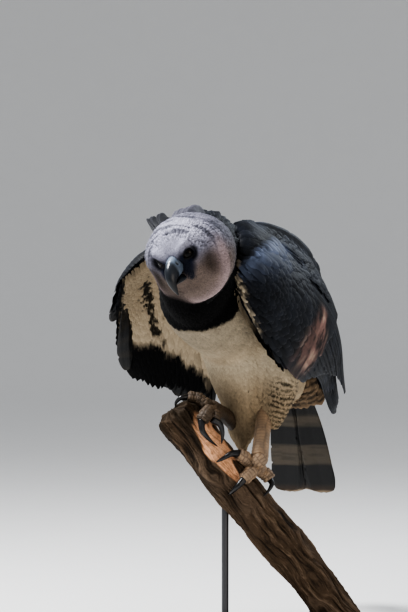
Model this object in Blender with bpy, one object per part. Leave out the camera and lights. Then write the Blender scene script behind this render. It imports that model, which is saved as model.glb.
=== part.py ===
"""A harpy eagle as a still, life-size model: it leans forward on a cut branch that a plain stand holds up.

The underside of the stand's base is centred on the origin, Z is up and the bird looks towards -Y. Sizes are in
metres. The bird's own shapes are laid out in its own frame, as (forward, left, up) from the middle of the body.
"""

import math
import random

import bmesh
import bpy
import numpy as np

GAP = 0.0004  # what touching nodes keep between them
MERGE = 0.000002  # points closer than this become one after a cut

HUB = np.array([-0.019, 0.0, 0.6017])  # middle of the body
BODY_YAW = math.radians(27.0)
BODY_PITCH = math.radians(30.0)
FORWARD = np.array(
    [
        -math.sin(BODY_YAW) * math.cos(BODY_PITCH),
        -math.cos(BODY_YAW) * math.cos(BODY_PITCH),
        math.sin(BODY_PITCH),
    ]
)
LEFT = np.array([math.cos(BODY_YAW), -math.sin(BODY_YAW), 0.0])
UP = np.cross(FORWARD, LEFT)

HEAD_CENTRE = (0.276, 0.043, -0.071)
HEAD_YAW = math.radians(30.0)
HEAD_PITCH = math.radians(-22.0)
HEAD_ROLL = math.radians(16.0)

EYE_RADIUS = 0.0115
EYE_PLACE = (0.0318, 0.0235, 0.0125)  # forward, sideways, up, in the head's frame

TAIL_ROOT = np.array([0.0746, 0.160, 0.4768])
TAIL_TIP = np.array([0.1200, 0.470, 0.2360])
TAIL_FEATHERS = 12

PERCH_TOP = np.array([-0.1250, -0.035, 0.4110])  # the broken end's centre
PERCH_FOOT = np.array([0.1675, -0.020, 0.0497])
PERCH_RADIUS_TOP = 0.0385
PERCH_RADIUS_FOOT = 0.0340

BASE_SIZE = (0.38, 0.34, 0.022)
BASE_BEVEL = 0.004
ROD_RADIUS = 0.006
ROD_PLACES = {"stand_rod_long": -0.045, "stand_rod_short": 0.105}

COLOURS = {
    "slate_plumage": ((0.055, 0.062, 0.082), 0.7),
    "white_plumage": ((0.62, 0.56, 0.47), 0.85),
    "grey_plumage": ((0.40, 0.40, 0.44), 0.85),
    "black_plumage": ((0.02, 0.02, 0.025), 0.75),
    "bill_horn": ((0.07, 0.08, 0.09), 0.35),
    "claw_horn": ((0.015, 0.014, 0.014), 0.3),
    "eye_dark": ((0.02, 0.012, 0.01), 0.08),
    "leg_skin": ((0.50, 0.40, 0.24), 0.6),
    "branch_wood": ((0.22, 0.12, 0.07), 0.85),
    "stand_wood": ((0.035, 0.024, 0.018), 0.45),
    "stand_steel": ((0.12, 0.12, 0.12), 0.4),
}


def material(name):
    """The named Principled material, made once."""
    found = bpy.data.materials.get(name)
    if found:
        return found
    colour, roughness = COLOURS[name]
    made = bpy.data.materials.new(name)
    made.use_nodes = True
    shader = made.node_tree.nodes["Principled BSDF"]
    shader.inputs["Base Color"].default_value = (*colour, 1.0)
    shader.inputs["Roughness"].default_value = roughness
    shader.inputs["Metallic"].default_value = 0.8 if name == "stand_steel" else 0.0
    return made


def unit(vectors):
    """Vectors of length one, along the last axis."""
    vectors = np.asarray(vectors, float)
    return vectors / np.maximum(np.linalg.norm(vectors, axis=-1, keepdims=True), 1e-12)


def hermite(rows, places):
    """A smooth curve through rows, whose first column says where along it each one stands."""
    rows = np.asarray(rows, float)
    keys, values = rows[:, 0], rows[:, 1:]
    places = np.clip(np.asarray(places, float), keys[0], keys[-1])
    slopes = np.gradient(values, keys, axis=0)
    index = np.clip(np.searchsorted(keys, places) - 1, 0, len(keys) - 2)
    span = (keys[index + 1] - keys[index])[..., None]
    t = (places - keys[index])[..., None] / span
    return (
        (2 * t**3 - 3 * t**2 + 1) * values[index]
        + (t**3 - 2 * t**2 + t) * span * slopes[index]
        + (-2 * t**3 + 3 * t**2) * values[index + 1]
        + (t**3 - t**2) * span * slopes[index + 1]
    )


def bird(points):
    """World places of (forward, left, up) places in the bird's frame."""
    return HUB + np.asarray(points, float) @ np.array([FORWARD, LEFT, UP])


def head_axes():
    """The head's own forward, left and up directions."""
    pitch = HEAD_PITCH
    forward = np.array(
        [
            -math.sin(HEAD_YAW) * math.cos(pitch),
            -math.cos(HEAD_YAW) * math.cos(pitch),
            math.sin(pitch),
        ]
    )
    left = np.array([math.cos(HEAD_YAW), -math.sin(HEAD_YAW), 0.0])
    up = np.cross(forward, left)
    tilted = math.cos(HEAD_ROLL) * left + math.sin(HEAD_ROLL) * up
    return np.array([forward, tilted, np.cross(forward, tilted)])


def head(points):
    """World places of (forward, left, up) places in the head's frame."""
    return bird(HEAD_CENTRE) + np.asarray(points, float) @ head_axes()


def new_object(name, points, faces, finish, smooth=True):
    """A mesh object in the scene, in world coordinates."""
    mesh = bpy.data.meshes.new(name)
    mesh.from_pydata([tuple(p) for p in points], [], [tuple(map(int, f)) for f in faces])
    mesh.materials.append(material(finish))
    if smooth:
        mesh.shade_smooth()
    made = bpy.data.objects.new(name, mesh)
    bpy.context.scene.collection.objects.link(made)
    return made


def tube(name, rings, finish):
    """A closed solid round a row of rings, with a fan from the middle of each end ring."""
    rings = np.asarray(rings, float)
    count, around = rings.shape[:2]
    points = np.concatenate([rings.reshape(-1, 3), rings[[0, -1]].mean(axis=1)])
    faces = []
    for k in range(count - 1):
        for j in range(around):
            a, b = k * around + j, k * around + (j + 1) % around
            faces += [(a, b, b + around), (a, b + around, a + around)]
    first, last = count * around, count * around + 1
    for j in range(around):
        a, b = j, (j + 1) % around
        faces.append((first, b, a))
        faces.append((last, a + (count - 1) * around, b + (count - 1) * around))
    made = new_object(name, points, faces, finish)
    face_outwards(made)
    return made


def face_outwards(made):
    """Turns every face round if the closed mesh is inside out."""
    mesh = made.data
    mesh.calc_loop_triangles()
    corners = np.array([[mesh.vertices[i].co for i in t.vertices] for t in mesh.loop_triangles])
    if np.linalg.det(corners - corners.reshape(-1, 3).mean(axis=0)).sum() < 0:
        mesh.flip_normals()


def ellipse_rings(centres, tangents, sideways, half_sizes, around):
    """Rings of ellipses across a line. half_sizes has (side, above, below) for each ring."""
    tangents = unit(tangents)
    sideways = unit(sideways - (sideways * tangents).sum(1, keepdims=True) * tangents)
    above = np.cross(tangents, sideways)
    angles = np.linspace(0, 2 * math.pi, around, endpoint=False)
    side, top, bottom = np.asarray(half_sizes, float).T[:, :, None]
    across = side * np.cos(angles)
    along = np.where(np.sin(angles) > 0, top, bottom) * np.sin(angles)
    return (
        centres[:, None]
        + across[..., None] * sideways[:, None]
        + along[..., None] * above[:, None]
    )


def path_rings(path, sideways, radii, around, flatten=1.0):
    """Rings round a path of world points, flattened across sideways by the given share."""
    path = np.asarray(path, float)
    tangents = np.gradient(path, axis=0)
    sideways = np.broadcast_to(np.asarray(sideways, float), path.shape)
    radii = np.asarray(radii, float)
    sizes = np.stack([radii, radii * flatten, radii * flatten], axis=1)
    return ellipse_rings(path, tangents, sideways, sizes, around)


def apply_boolean(target, cutters, operation, solver="EXACT"):
    """Applies one Boolean of a collection of closed meshes, and removes them. Where EXACT leaves no closed
    solid, MANIFOLD does the same step."""
    group = bpy.data.collections.new("joined")
    bpy.context.scene.collection.children.link(group)
    for cutter in cutters:
        bpy.context.scene.collection.objects.unlink(cutter)
        group.objects.link(cutter)
    modifier = target.modifiers.new("join", "BOOLEAN")
    modifier.operation = operation
    modifier.operand_type = "COLLECTION"
    modifier.collection = group
    for choice in (solver, "MANIFOLD"):
        modifier.solver = choice
        if choice == "EXACT":
            modifier.use_self = operation == "DIFFERENCE"
        graph = bpy.context.evaluated_depsgraph_get()
        mesh = bpy.data.meshes.new_from_object(target.evaluated_get(graph))
        if clean(mesh):
            break
    target.modifiers.clear()
    target.data = mesh
    mesh.name = target.name
    for cutter in cutters:
        bpy.data.objects.remove(cutter)
    bpy.data.collections.remove(group)
    return target


def clean(mesh):
    """Keeps the closed surface of the largest volume, which drops loose scraps and fills sealed hollows.

    Returns whether what is left is closed and faces outwards.
    """
    work = bmesh.new()
    work.from_mesh(mesh)
    bmesh.ops.remove_doubles(work, verts=work.verts[:], dist=MERGE)
    bmesh.ops.dissolve_degenerate(work, edges=work.edges[:], dist=MERGE)
    bmesh.ops.triangulate(work, faces=work.faces[:])
    work.faces.index_update()
    label = np.arange(len(work.faces))
    pairs = np.array([[f.index for f in e.link_faces] for e in work.edges if len(e.link_faces) == 2])
    while True:
        lowest = label[pairs].min(axis=1)
        spread = label.copy()
        np.minimum.at(spread, pairs.ravel(), np.repeat(lowest, 2))
        spread = spread[spread]
        if (spread == label).all():
            break
        label = spread
    corners = np.array([[v.co for v in f.verts] for f in work.faces])
    volumes = np.bincount(label, weights=np.linalg.det(corners))
    largest = int(np.argmax(volumes))
    scraps = [f for f in work.faces if label[f.index] != largest]
    bmesh.ops.delete(work, geom=scraps, context="FACES")
    whole = volumes[largest] > 0 and all(len(e.link_faces) == 2 for e in work.edges)
    work.to_mesh(mesh)
    work.free()
    mesh.shade_smooth()
    return whole


def grown(source, by=GAP):
    """A copy of a closed object with its surface moved out, to cut a neighbour with."""
    mesh = source.data.copy()
    normals = np.array([v.normal for v in mesh.vertices])
    points = np.array([v.co for v in mesh.vertices]) + normals * by
    mesh.vertices.foreach_set("co", points.astype(np.float32).ravel())
    copy = bpy.data.objects.new(source.name + "_grown", mesh)
    bpy.context.scene.collection.objects.link(copy)
    return copy


def carve(target, *neighbours, solver="EXACT"):
    """Cuts a node clear of its neighbours, so that they meet face to face."""
    for neighbour in neighbours:
        apply_boolean(target, [grown(neighbour)], "DIFFERENCE", solver)
    return target


# Torso, neck and head

# place along the spine, then the centre (forward, left, up) and half sizes (side, above, below)
TORSO = (
    (0.00, -0.262, 0.006, -0.030, 0.020, 0.018, 0.022),
    (0.10, -0.232, 0.004, -0.020, 0.041, 0.037, 0.041),
    (0.25, -0.175, 0.002, -0.010, 0.060, 0.066, 0.062),
    (0.42, -0.100, 0.000, -0.002, 0.078, 0.094, 0.088),
    (0.60, -0.015, 0.000, 0.000, 0.088, 0.108, 0.106),
    (0.75, 0.060, 0.000, -0.012, 0.090, 0.110, 0.113),
    (0.88, 0.118, 0.002, -0.028, 0.086, 0.099, 0.102),
    (0.96, 0.152, 0.004, -0.036, 0.074, 0.082, 0.084),
    (1.00, 0.170, 0.006, -0.040, 0.052, 0.055, 0.056),
)
NECK = (
    (0.00, 0.110, 0.000, -0.030, 0.072, 0.084, 0.084),
    (0.35, 0.168, 0.010, -0.044, 0.064, 0.106, 0.089),
    (0.65, 0.220, 0.024, -0.056, 0.062, 0.088, 0.081),
    (1.00, 0.266, 0.040, -0.068, 0.052, 0.054, 0.056),
)
# the head's radii: forward, back, sideways, up, down
HEAD_RADII = (0.046, 0.080, 0.0735, 0.067, 0.0685)
# the head's bumps and hollows: direction (forward, sideways, up), spread in radians, height
HEAD_BUMPS = (
    ((0.88, 0.34, 0.36), 0.17, 0.0050),
    ((0.70, 0.56, 0.50), 0.18, 0.0055),
    ((0.50, 0.74, 0.50), 0.20, 0.0030),
    ((0.74, 0.64, 0.24), 0.20, -0.0060),
    ((0.93, 0.36, 0.02), 0.15, -0.0040),
    ((0.72, 0.60, -0.40), 0.30, 0.0030),
)


def spine_rings(rows, places, around):
    """Rings of a body tube laid out in the bird's frame."""
    values = hermite(rows, places)
    centres = bird(values[:, :3])
    tangents = bird(hermite(rows, np.minimum(places + 0.01, 1))[:, :3]) - bird(
        hermite(rows, np.maximum(places - 0.01, 0))[:, :3]
    )
    sideways = np.broadcast_to(LEFT, centres.shape)
    return ellipse_rings(centres, tangents, sideways, values[:, 3:], around)


def head_radius(directions):
    """Distance from the head's centre to its surface: an ellipsoid with bumps, and a disc rim round the face."""
    x, y, z = np.moveaxis(unit(directions), -1, 0)
    front, back, side, top, bottom = HEAD_RADII
    length = np.sqrt(
        (x / np.where(x > 0, front, back)) ** 2
        + (y / side) ** 2
        + (z / np.where(z > 0, top, bottom)) ** 2
    )
    radius = 1 / length
    for centre, spread, height in HEAD_BUMPS:
        for hand in (1, -1):
            towards = unit(np.array(centre) * (1, hand, 1))
            angle = np.arccos(np.clip(x * towards[0] + y * towards[1] + z * towards[2], -1, 1))
            radius = radius + height * np.exp(-((angle / spread) ** 2))
    off_axis = np.degrees(np.arccos(np.clip(x, -1, 1)))
    low = np.clip(0.75 - z, 0, 1)
    rim = 0.004 * np.exp(-(((off_axis - 78) / 13) ** 2))
    dish = 0.004 * np.exp(-(((off_axis - 50) / 13) ** 2))
    return radius + low * (rim - dish)


def make_head():
    """The head with its sockets, lids and crest."""
    angles = np.radians([5, 14, 23, 31, 39, 47, 57, 68, 81, 96, 114, 136, 162])
    around = np.linspace(0, 2 * math.pi, 24, endpoint=False)
    directions = np.stack(
        [
            np.broadcast_to(np.cos(angles)[:, None], (len(angles), len(around))),
            np.sin(angles)[:, None] * np.cos(around),
            np.sin(angles)[:, None] * np.sin(around),
        ],
        axis=-1,
    )
    skull = tube("head", head(directions * head_radius(directions)[..., None]), "grey_plumage")
    lids, openings = [], []
    for hand in (1, -1):
        place = np.array(EYE_PLACE) * (1, hand, 1)
        outwards = unit([0.76, 0.62 * hand, 0.10])
        lids.append(ball("lid", place, EYE_RADIUS + 0.0024, "grey_plumage"))
        openings.append(ball("eyeball", place, EYE_RADIUS + GAP, "grey_plumage"))
        openings.append(lid_opening(place + outwards * EYE_RADIUS, outwards, hand))
    apply_boolean(skull, lids, "UNION")
    apply_boolean(skull, openings, "DIFFERENCE")
    return apply_boolean(skull, crest_vanes(), "UNION", "MANIFOLD")


# the crest: root, highest point and tip of the first and last vane of each group, in the head's frame
CREST = (
    ((-0.018, 0.018, 0.054), (-0.068, 0.004, 0.066), (-0.106, -0.006, 0.040)),
    ((-0.022, -0.018, 0.056), (-0.070, -0.026, 0.068), (-0.108, -0.040, 0.048)),
    ((-0.020, -0.028, 0.052), (-0.066, -0.052, 0.069), (-0.100, -0.068, 0.054)),
    ((-0.020, -0.046, 0.042), (-0.060, -0.074, 0.074), (-0.090, -0.092, 0.068)),
)
CREST_COUNT = 3  # vanes in each of the two groups
CREST_WIDTH = 0.032


def crest_vanes():
    """The long feathers of the rear crown, one by one, laid back and lifted to the head's right."""
    vanes = []
    spots = [p for p, _ in SHORT_VANE]
    for first, last in ((CREST[0], CREST[1]), (CREST[2], CREST[3])):
        for k in range(CREST_COUNT):
            share = k / (CREST_COUNT - 1)
            points = np.array(first) + (np.array(last) - np.array(first)) * share
            points[1:] += (random.uniform(-0.004, 0.004), 0, 0.0016 * (k % 2))
            curve = hermite(np.column_stack([[0, 0.55, 1], points]), spots)
            outwards = unit(curve - np.array([-0.03, 0.0, 0.0]))
            width = CREST_WIDTH * random.uniform(0.9, 1.05)
            vanes.append(vane(head(curve), outwards @ head_axes(), width))
    return vanes


def ball(name, place, radius, finish, rings=6, around=12):
    """A ball in the head's frame."""
    angles = np.linspace(0, math.pi, rings + 2)[1:-1]
    turn = np.linspace(0, 2 * math.pi, around, endpoint=False)
    shape = np.stack(
        [
            np.broadcast_to(np.cos(angles)[:, None], (rings, around)),
            np.sin(angles)[:, None] * np.cos(turn),
            np.sin(angles)[:, None] * np.sin(turn),
        ],
        axis=-1,
    )
    made = tube(name, head(np.array(place) + shape * radius), finish)
    return made


def lid_opening(place, outwards, hand):
    """An almond cutter that opens the lids, higher at its outer corner."""
    corner = unit(np.cross([0, 0, 1.0], outwards))
    slit = unit(corner * -hand * 0.9 + np.array([0, 0, -0.30]))
    across = np.cross(outwards, slit)
    angles = np.linspace(0, 2 * math.pi, 12, endpoint=False)
    rings = []
    for depth, share in ((-0.006, 0.75), (0.002, 1.0), (0.010, 1.1)):
        almond = 0.0098 * np.cos(angles)[:, None] * slit
        almond = almond + 0.0068 * (np.sin(angles) * np.abs(np.sin(angles)) ** 0.3)[:, None] * across
        rings.append(place + outwards * depth + almond * share)
    return tube("lid_opening", head(np.array(rings)), "grey_plumage")


# Bill: place along it, then the ridge (forward, up), the cutting edge (forward, up) and half the width
UPPER_BILL = (
    (0.00, 0.028, 0.0180, 0.028, -0.0120, 0.0130),
    (0.22, 0.047, 0.0170, 0.046, -0.0135, 0.0132),
    (0.40, 0.061, 0.0115, 0.057, -0.0155, 0.0115),
    (0.58, 0.0725, 0.0010, 0.0650, -0.0190, 0.0092),
    (0.74, 0.0780, -0.0125, 0.0685, -0.0235, 0.0068),
    (0.88, 0.0768, -0.0260, 0.0685, -0.0295, 0.0044),
    (1.00, 0.0712, -0.0395, 0.0690, -0.0392, 0.0009),
)
LOWER_BILL = (
    (0.00, 0.028, -0.0128, 0.028, -0.0235, 0.0112),
    (0.35, 0.045, -0.0142, 0.045, -0.0252, 0.0104),
    (0.70, 0.0565, -0.0164, 0.0570, -0.0250, 0.0074),
    (0.90, 0.0628, -0.0196, 0.0625, -0.0243, 0.0046),
    (1.00, 0.0655, -0.0220, 0.0650, -0.0238, 0.0018),
)


def bill_half(name, rows, places, around=10):
    """One mandible, narrow along the ridge and full along the cutting edge."""
    values = hermite(rows, places)
    angles = np.linspace(0, 2 * math.pi, around, endpoint=False)
    height = np.cos(angles)
    rings = []
    for ridge_f, ridge_u, edge_f, edge_u, half in values:
        middle = np.array([(ridge_f + edge_f) / 2, 0, (ridge_u + edge_u) / 2])
        rise = np.array([(ridge_f - edge_f) / 2, 0, (ridge_u - edge_u) / 2])
        width = half * np.sign(np.sin(angles)) * np.abs(np.sin(angles)) ** 0.8 * (1 - 0.22 * height)
        rings.append(middle + height[:, None] * rise + width[:, None] * np.array([0, 1.0, 0]))
    return tube(name, head(np.array(rings)), "bill_horn")


def make_bill(skull):
    """Both mandibles, with the nostrils cut in the upper one and the mouth's line between them."""
    upper = bill_half("bill_upper", UPPER_BILL, np.linspace(0, 1, 11))
    nostrils = []
    for hand in (1, -1):
        place = np.array([0.0520, 0.0125 * hand, 0.0050])
        nostrils.append(ball("nostril", place, 0.0026, "bill_horn", 4, 8))
    apply_boolean(upper, nostrils, "DIFFERENCE")
    carve(upper, skull)
    lower = bill_half("bill_lower", LOWER_BILL, np.linspace(0, 1, 7), 10)
    return upper, carve(lower, skull, upper)


def make_eyes():
    """Both eyeballs."""
    for hand, name in ((1, "eye_left"), (-1, "eye_right")):
        ball(name, np.array(EYE_PLACE) * (1, hand, 1), EYE_RADIUS, "eye_dark", 7, 12)


# Feathers

VANE_THICK = 0.0010  # along the shaft
VANE_EDGE = 0.0006
VANE_TIP = 0.0004
LONG_VANE = ((0.0, 0.45), (0.30, 0.85), (0.68, 1.0), (0.93, 0.82), (1.0, 0.30))  # place, share of the width
SHORT_VANE = ((0.0, 0.55), (0.45, 1.0), (0.87, 0.84), (1.0, 0.32))


def vane(line, normals, width, shape=SHORT_VANE, droop=0.06):
    """One feather vane on a line sampled at the shape's places, with its edges bent down a little."""
    line, normals = np.asarray(line, float), unit(normals)
    sideways = unit(np.cross(np.gradient(line, axis=0), normals))
    half = 0.5 * width * np.array(shape)[:, 1:]
    fall = normals * half * droop
    return vane_solid(line - sideways * half - fall, line, line + sideways * half - fall, normals)


def vane_solid(left, line, right, normals):
    """A vane's closed thin solid of six-point rings, in triangles alike on both faces."""
    ends = np.ones((len(line), 1))
    ends[-1] = VANE_TIP / VANE_EDGE
    up_mid, up_edge = normals * VANE_THICK / 2 * ends, normals * VANE_EDGE / 2 * ends
    rings = np.stack(
        [left + up_edge, line + up_mid, right + up_edge, right - up_edge, line - up_mid, left - up_edge],
        axis=1,
    )
    count = len(rings)
    faces = []
    for k in range(count - 1):
        a, b = 6 * k, 6 * (k + 1)
        for j in (0, 1):
            faces += [(a + j, a + j + 1, b + j + 1), (a + j, b + j + 1, b + j)]
            low, high = 5 - j, 4 - j
            faces += [(a + low, b + high, a + high), (a + low, b + low, b + high)]
        faces += [(a + 2, a + 3, b + 3), (a + 2, b + 3, b + 2)]
        faces += [(a + 5, a, b), (a + 5, b, b + 5)]
    for start, turn in ((0, 1), (6 * (count - 1), -1)):
        for corner in ((0, 5, 4), (0, 4, 1), (1, 4, 3), (1, 3, 2)):
            faces.append(tuple(start + i for i in corner[::turn]))
    made = new_object("vane", rings.reshape(-1, 3), faces, "slate_plumage")
    face_outwards(made)
    return made


# Wings: place along the wing, its upper or inner edge and its lower or outer edge in the bird's frame, and bulge
WINGS = {
    "wing_left": (
        (0.00, 0.176, 0.052, 0.046, 0.176, 0.072, -0.052, 0.010),
        (0.08, 0.150, 0.058, 0.066, 0.146, 0.082, -0.082, 0.016),
        (0.22, 0.078, 0.072, 0.084, 0.060, 0.096, -0.106, 0.024),
        (0.45, -0.045, 0.088, 0.096, -0.075, 0.096, -0.100, 0.026),
        (0.70, -0.188, 0.088, 0.074, -0.205, 0.080, -0.060, 0.018),
        (0.90, -0.318, 0.062, 0.034, -0.325, 0.056, -0.028, 0.008),
        (1.00, -0.405, 0.046, 0.004, -0.405, 0.044, -0.012, 0.002),
    ),
    "wing_right": (
        (0.00, 0.134, -0.058, 0.050, 0.137, -0.160, -0.030, 0.010),
        (0.25, 0.060, -0.080, 0.084, 0.030, -0.226, -0.016, 0.022),
        (0.50, -0.030, -0.098, 0.070, -0.060, -0.274, -0.006, 0.026),
        (0.75, -0.125, -0.112, -0.006, -0.148, -0.308, -0.006, 0.020),
        (1.00, -0.245, -0.126, -0.124, -0.252, -0.324, -0.022, 0.010),
    ),
}
OUTER_SIGN = {"wing_left": -1.0, "wing_right": 1.0}
# shell rings: place along the wing, first and last place across it, thickness outside and inside
WING_SHELL = (
    (0.000, 0.28, 0.72, 0.004, 0.004),
    (0.025, 0.10, 0.90, 0.011, 0.012),
    (0.085, 0.00, 1.00, 0.016, 0.017),
    (0.180, 0.00, 1.00, 0.017, 0.018),
    (0.280, 0.00, 1.00, 0.013, 0.014),
    (0.370, 0.01, 0.99, 0.009, 0.013),
    (0.410, 0.03, 0.97, 0.006, 0.010),
)


def wing_sheet(wing, along, across):
    """World points of a wing's middle sheet at places along it and across it."""
    along, across = np.broadcast_arrays(np.asarray(along, float), np.asarray(across, float))
    rows = hermite(WINGS[wing], along)
    ahead = hermite(WINGS[wing], np.minimum(along + 0.02, 1.0))
    behind = hermite(WINGS[wing], np.maximum(along - 0.02, 0.0))
    run = (ahead - behind)[..., :3] + (ahead - behind)[..., 3:6]
    top, bottom = rows[..., :3], rows[..., 3:6]
    outwards = unit(np.cross(run, bottom - top)) * OUTER_SIGN[wing]
    bow = rows[..., 6:] * np.sin(np.pi * np.clip(across, 0, 1))[..., None]
    return bird(top + (bottom - top) * across[..., None] + outwards * bow)


def wing_normals(wing, along, across):
    """Unit normals of the sheet, pointing to the wing's upper side."""
    step = 0.015
    run = wing_sheet(wing, np.minimum(along + step, 1), across)
    run = run - wing_sheet(wing, np.maximum(along - step, 0), across)
    span = wing_sheet(wing, along, across + step) - wing_sheet(wing, along, across - step)
    return unit(np.cross(run, span)) * OUTER_SIGN[wing]


def wing_shell(name, rings=WING_SHELL, steps=7):
    """The covert-clad arm of a wing as one closed lens round its sheet."""
    shares = np.linspace(0, 1, steps)
    lens = np.sqrt(1 - (2 * shares - 1) ** 2) * 0.9 + 0.1
    built = []
    for along, first, last, outside, inside in rings:
        across = first + (last - first) * shares
        places = np.full(steps, along)
        sheet, normals = wing_sheet(name, places, across), wing_normals(name, places, across)
        upper = sheet + normals * (outside * lens)[:, None]
        lower = sheet - normals * (inside * lens)[:, None]
        built.append(np.concatenate([upper, lower[::-1]]))
    return tube(name, built, "slate_plumage")


# tiers of a wing: how many feathers, first and last root (along, across), first and last tip, how far the tips
# bow out past the line between those two, width, and the first feather's height above the sheet
TIER_STEP = 0.0020  # each feather lies this much lower than the one before it
WING_TIERS = {
    "wing_left": {
        "secondaries": (7, (0.36, 0.12), (0.34, 0.80), (0.86, 0.36), (0.58, 0.88), 0.0, 0.042, 0.0075),
        "primaries": (5, (0.36, 0.66), (0.32, 0.88), (0.92, 0.36), (0.995, 0.60), 0.0, 0.036, -0.0070),
        "coverts": (5, (0.30, 0.10), (0.26, 0.88), (0.60, 0.24), (0.46, 0.92), 0.0, 0.052, 0.0175),
        "scapulars": (3, (0.12, 0.05), (0.24, 0.12), (0.46, 0.09), (0.68, 0.22), 0.0, 0.046, 0.0225),
    },
    "wing_right": {
        "secondaries": (7, (0.34, 0.10), (0.34, 0.76), (0.95, 0.09), (0.91, 0.79), 0.045, 0.046, 0.0075),
        "primaries": (5, (0.30, 0.82), (0.24, 0.93), (0.80, 0.92), (0.872, 0.975), 0.0, 0.030, -0.0070),
        "coverts": (5, (0.28, 0.10), (0.24, 0.88), (0.60, 0.10), (0.52, 0.92), 0.0, 0.056, 0.0175),
        "scapulars": (3, (0.12, 0.03), (0.20, 0.10), (0.44, 0.03), (0.64, 0.14), 0.0, 0.046, 0.0225),
    },
}


def wing_tier(name, tier, shape):
    """One tier of a wing's feathers, each laid a little under the one before it."""
    count, root_a, root_b, tip_a, tip_b, bow, width, height = WING_TIERS[name][tier]
    places = np.array(shape)[:, 0]
    made = []
    for k in range(count):
        share = k / (count - 1)
        root = np.array(root_a) + (np.array(root_b) - root_a) * share
        tip = np.array(tip_a) + (np.array(tip_b) - tip_a) * share
        tip = tip + np.array([bow * math.sin(math.pi * share) + random.uniform(-0.005, 0.005), 0.0])
        along = root[0] + (tip[0] - root[0]) * places
        across = root[1] + (tip[1] - root[1]) * places**0.85
        normals = wing_normals(name, along, across)
        lift = height - TIER_STEP * k
        # a root outside the arm's own thickness is sunk into it
        sunk = (np.clip(lift - 0.008, 0, None) + np.clip(lift + 0.009, None, 0)) * (1 - places) ** 2
        lifted = normals * (lift - sunk)[:, None]
        span = np.linalg.norm(wing_sheet(name, along, across + 0.05) - wing_sheet(name, along, across - 0.05), axis=1)
        half = 0.5 * width * random.uniform(0.97, 1.03) * np.array(shape)[:, 1] / (span / 0.10)
        edges = [wing_sheet(name, along, across + side * half) + lifted for side in (-1, 0, 1)]
        made.append(vane_solid(*edges, normals))
    return made


def make_wing(name):
    """A wing: the covert-clad arm with its tiers of vanes joined to it."""
    arm = wing_shell(name)
    vanes = wing_tier(name, "secondaries", LONG_VANE) + wing_tier(name, "primaries", LONG_VANE)
    vanes += wing_tier(name, "coverts", SHORT_VANE) + wing_tier(name, "scapulars", SHORT_VANE)
    return apply_boolean(arm, vanes, "UNION", "MANIFOLD")


# Tail


def tail_axes():
    """The tail's own run, sideways and upper-side directions."""
    run = unit(TAIL_TIP - TAIL_ROOT)
    sideways = unit(np.cross([0, 0, 1.0], run))
    return run, -sideways, np.cross(run, sideways) * -1.0


def tail_base():
    """The rump's end that the tail feathers grow from."""
    run, sideways, upper = tail_axes()
    length = np.array([-0.030, -0.012, 0.012, 0.036, 0.058])
    sizes = np.array(
        [
            (0.022, 0.020, 0.020),
            (0.036, 0.030, 0.032),
            (0.040, 0.030, 0.034),
            (0.039, 0.024, 0.030),
            (0.034, 0.015, 0.022),
        ]
    )
    centres = TAIL_ROOT + run * length[:, None]
    rings = ellipse_rings(
        centres, np.broadcast_to(run, centres.shape), np.broadcast_to(sideways, centres.shape), sizes, 14
    )
    return tube("tail", rings, "black_plumage")


TAIL_LENGTH = 0.395
TAIL_VANE_WIDTH = 0.054
TAIL_STEP = 0.0018  # each feather lies this much under the one before it


def tail_vane(start, end, aside, width, lift, shape):
    """One vane along the tail: aside holds its distance from the middle at its root and tip."""
    run, sideways, upper = tail_axes()
    places = np.array(shape)[:, 0]
    along = start + (end - start) * places
    off = aside[0] + (aside[1] - aside[0]) * places
    height = lift[0] + (lift[1] - lift[0]) * places
    line = TAIL_ROOT + np.outer(along, run) + np.outer(off, sideways) + np.outer(height, upper)
    return vane(line, np.broadcast_to(upper, line.shape), width, shape, 0.02)


def make_tail():
    """The tail: the rump's end, twelve long feathers in two closed halves, and short coverts over and under."""
    vanes = []
    for rank in range(TAIL_FEATHERS):
        hand = 1 if rank % 2 == 0 else -1
        place = rank // 2
        aside = (hand * (0.004 + 0.0030 * place), hand * (0.013 + 0.0046 * place))
        lift = 0.006 - TAIL_STEP * rank
        end = TAIL_LENGTH - 0.0025 * place + random.uniform(-0.003, 0.003)
        vanes.append(tail_vane(0.035, end, aside, TAIL_VANE_WIDTH, (lift, lift), LONG_VANE))
    for upper_side in (True, False):
        for k in range(4):
            aside = (k - 1.5) * 0.014
            lift = (0.011, 0.0100) if upper_side else (-0.018, -0.0180)
            end = (0.150 if upper_side else 0.165) - 0.008 * abs(k - 1.5)
            step = 0.0014 * (k % 2) * (1 if upper_side else -1)
            heights = (lift[0] + step, lift[1] + step)
            vanes.append(tail_vane(0.030, end, (aside, aside * 1.5), 0.026, heights, SHORT_VANE))
    return apply_boolean(tail_base(), vanes, "UNION", "MANIFOLD")


# Legs: each row is a world place and the half sizes (side, front and back)
THIGHS = {
    "thigh_left": (
        (0.00, 0.016, -0.020, 0.540, 0.050, 0.052),
        (0.30, 0.034, -0.006, 0.492, 0.048, 0.050),
        (0.65, 0.045, 0.004, 0.450, 0.038, 0.042),
        (0.88, 0.041, 0.004, 0.420, 0.029, 0.031),
        (1.00, 0.038, 0.004, 0.402, 0.022, 0.024),
    ),
    "thigh_right": (
        (0.00, -0.040, -0.020, 0.540, 0.050, 0.052),
        (0.35, -0.0300, 0.006, 0.468, 0.0435, 0.046),
        (0.60, -0.0215, 0.026, 0.428, 0.0330, 0.036),
        (0.82, -0.0175, 0.034, 0.396, 0.0235, 0.025),
        (1.00, -0.0160, 0.037, 0.370, 0.0170, 0.018),
    ),
}
TARSI = {
    "tarsus_left": ((0.0260, 0.004, 0.4230), (0.0190, -0.024, 0.3850), (0.0135, -0.052, 0.3440)),
    "tarsus_right": ((-0.0180, 0.052, 0.3830), (-0.0420, 0.010, 0.4080), (-0.0690, -0.030, 0.4260)),
}
TARSUS_RADIUS = 0.0140
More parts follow.
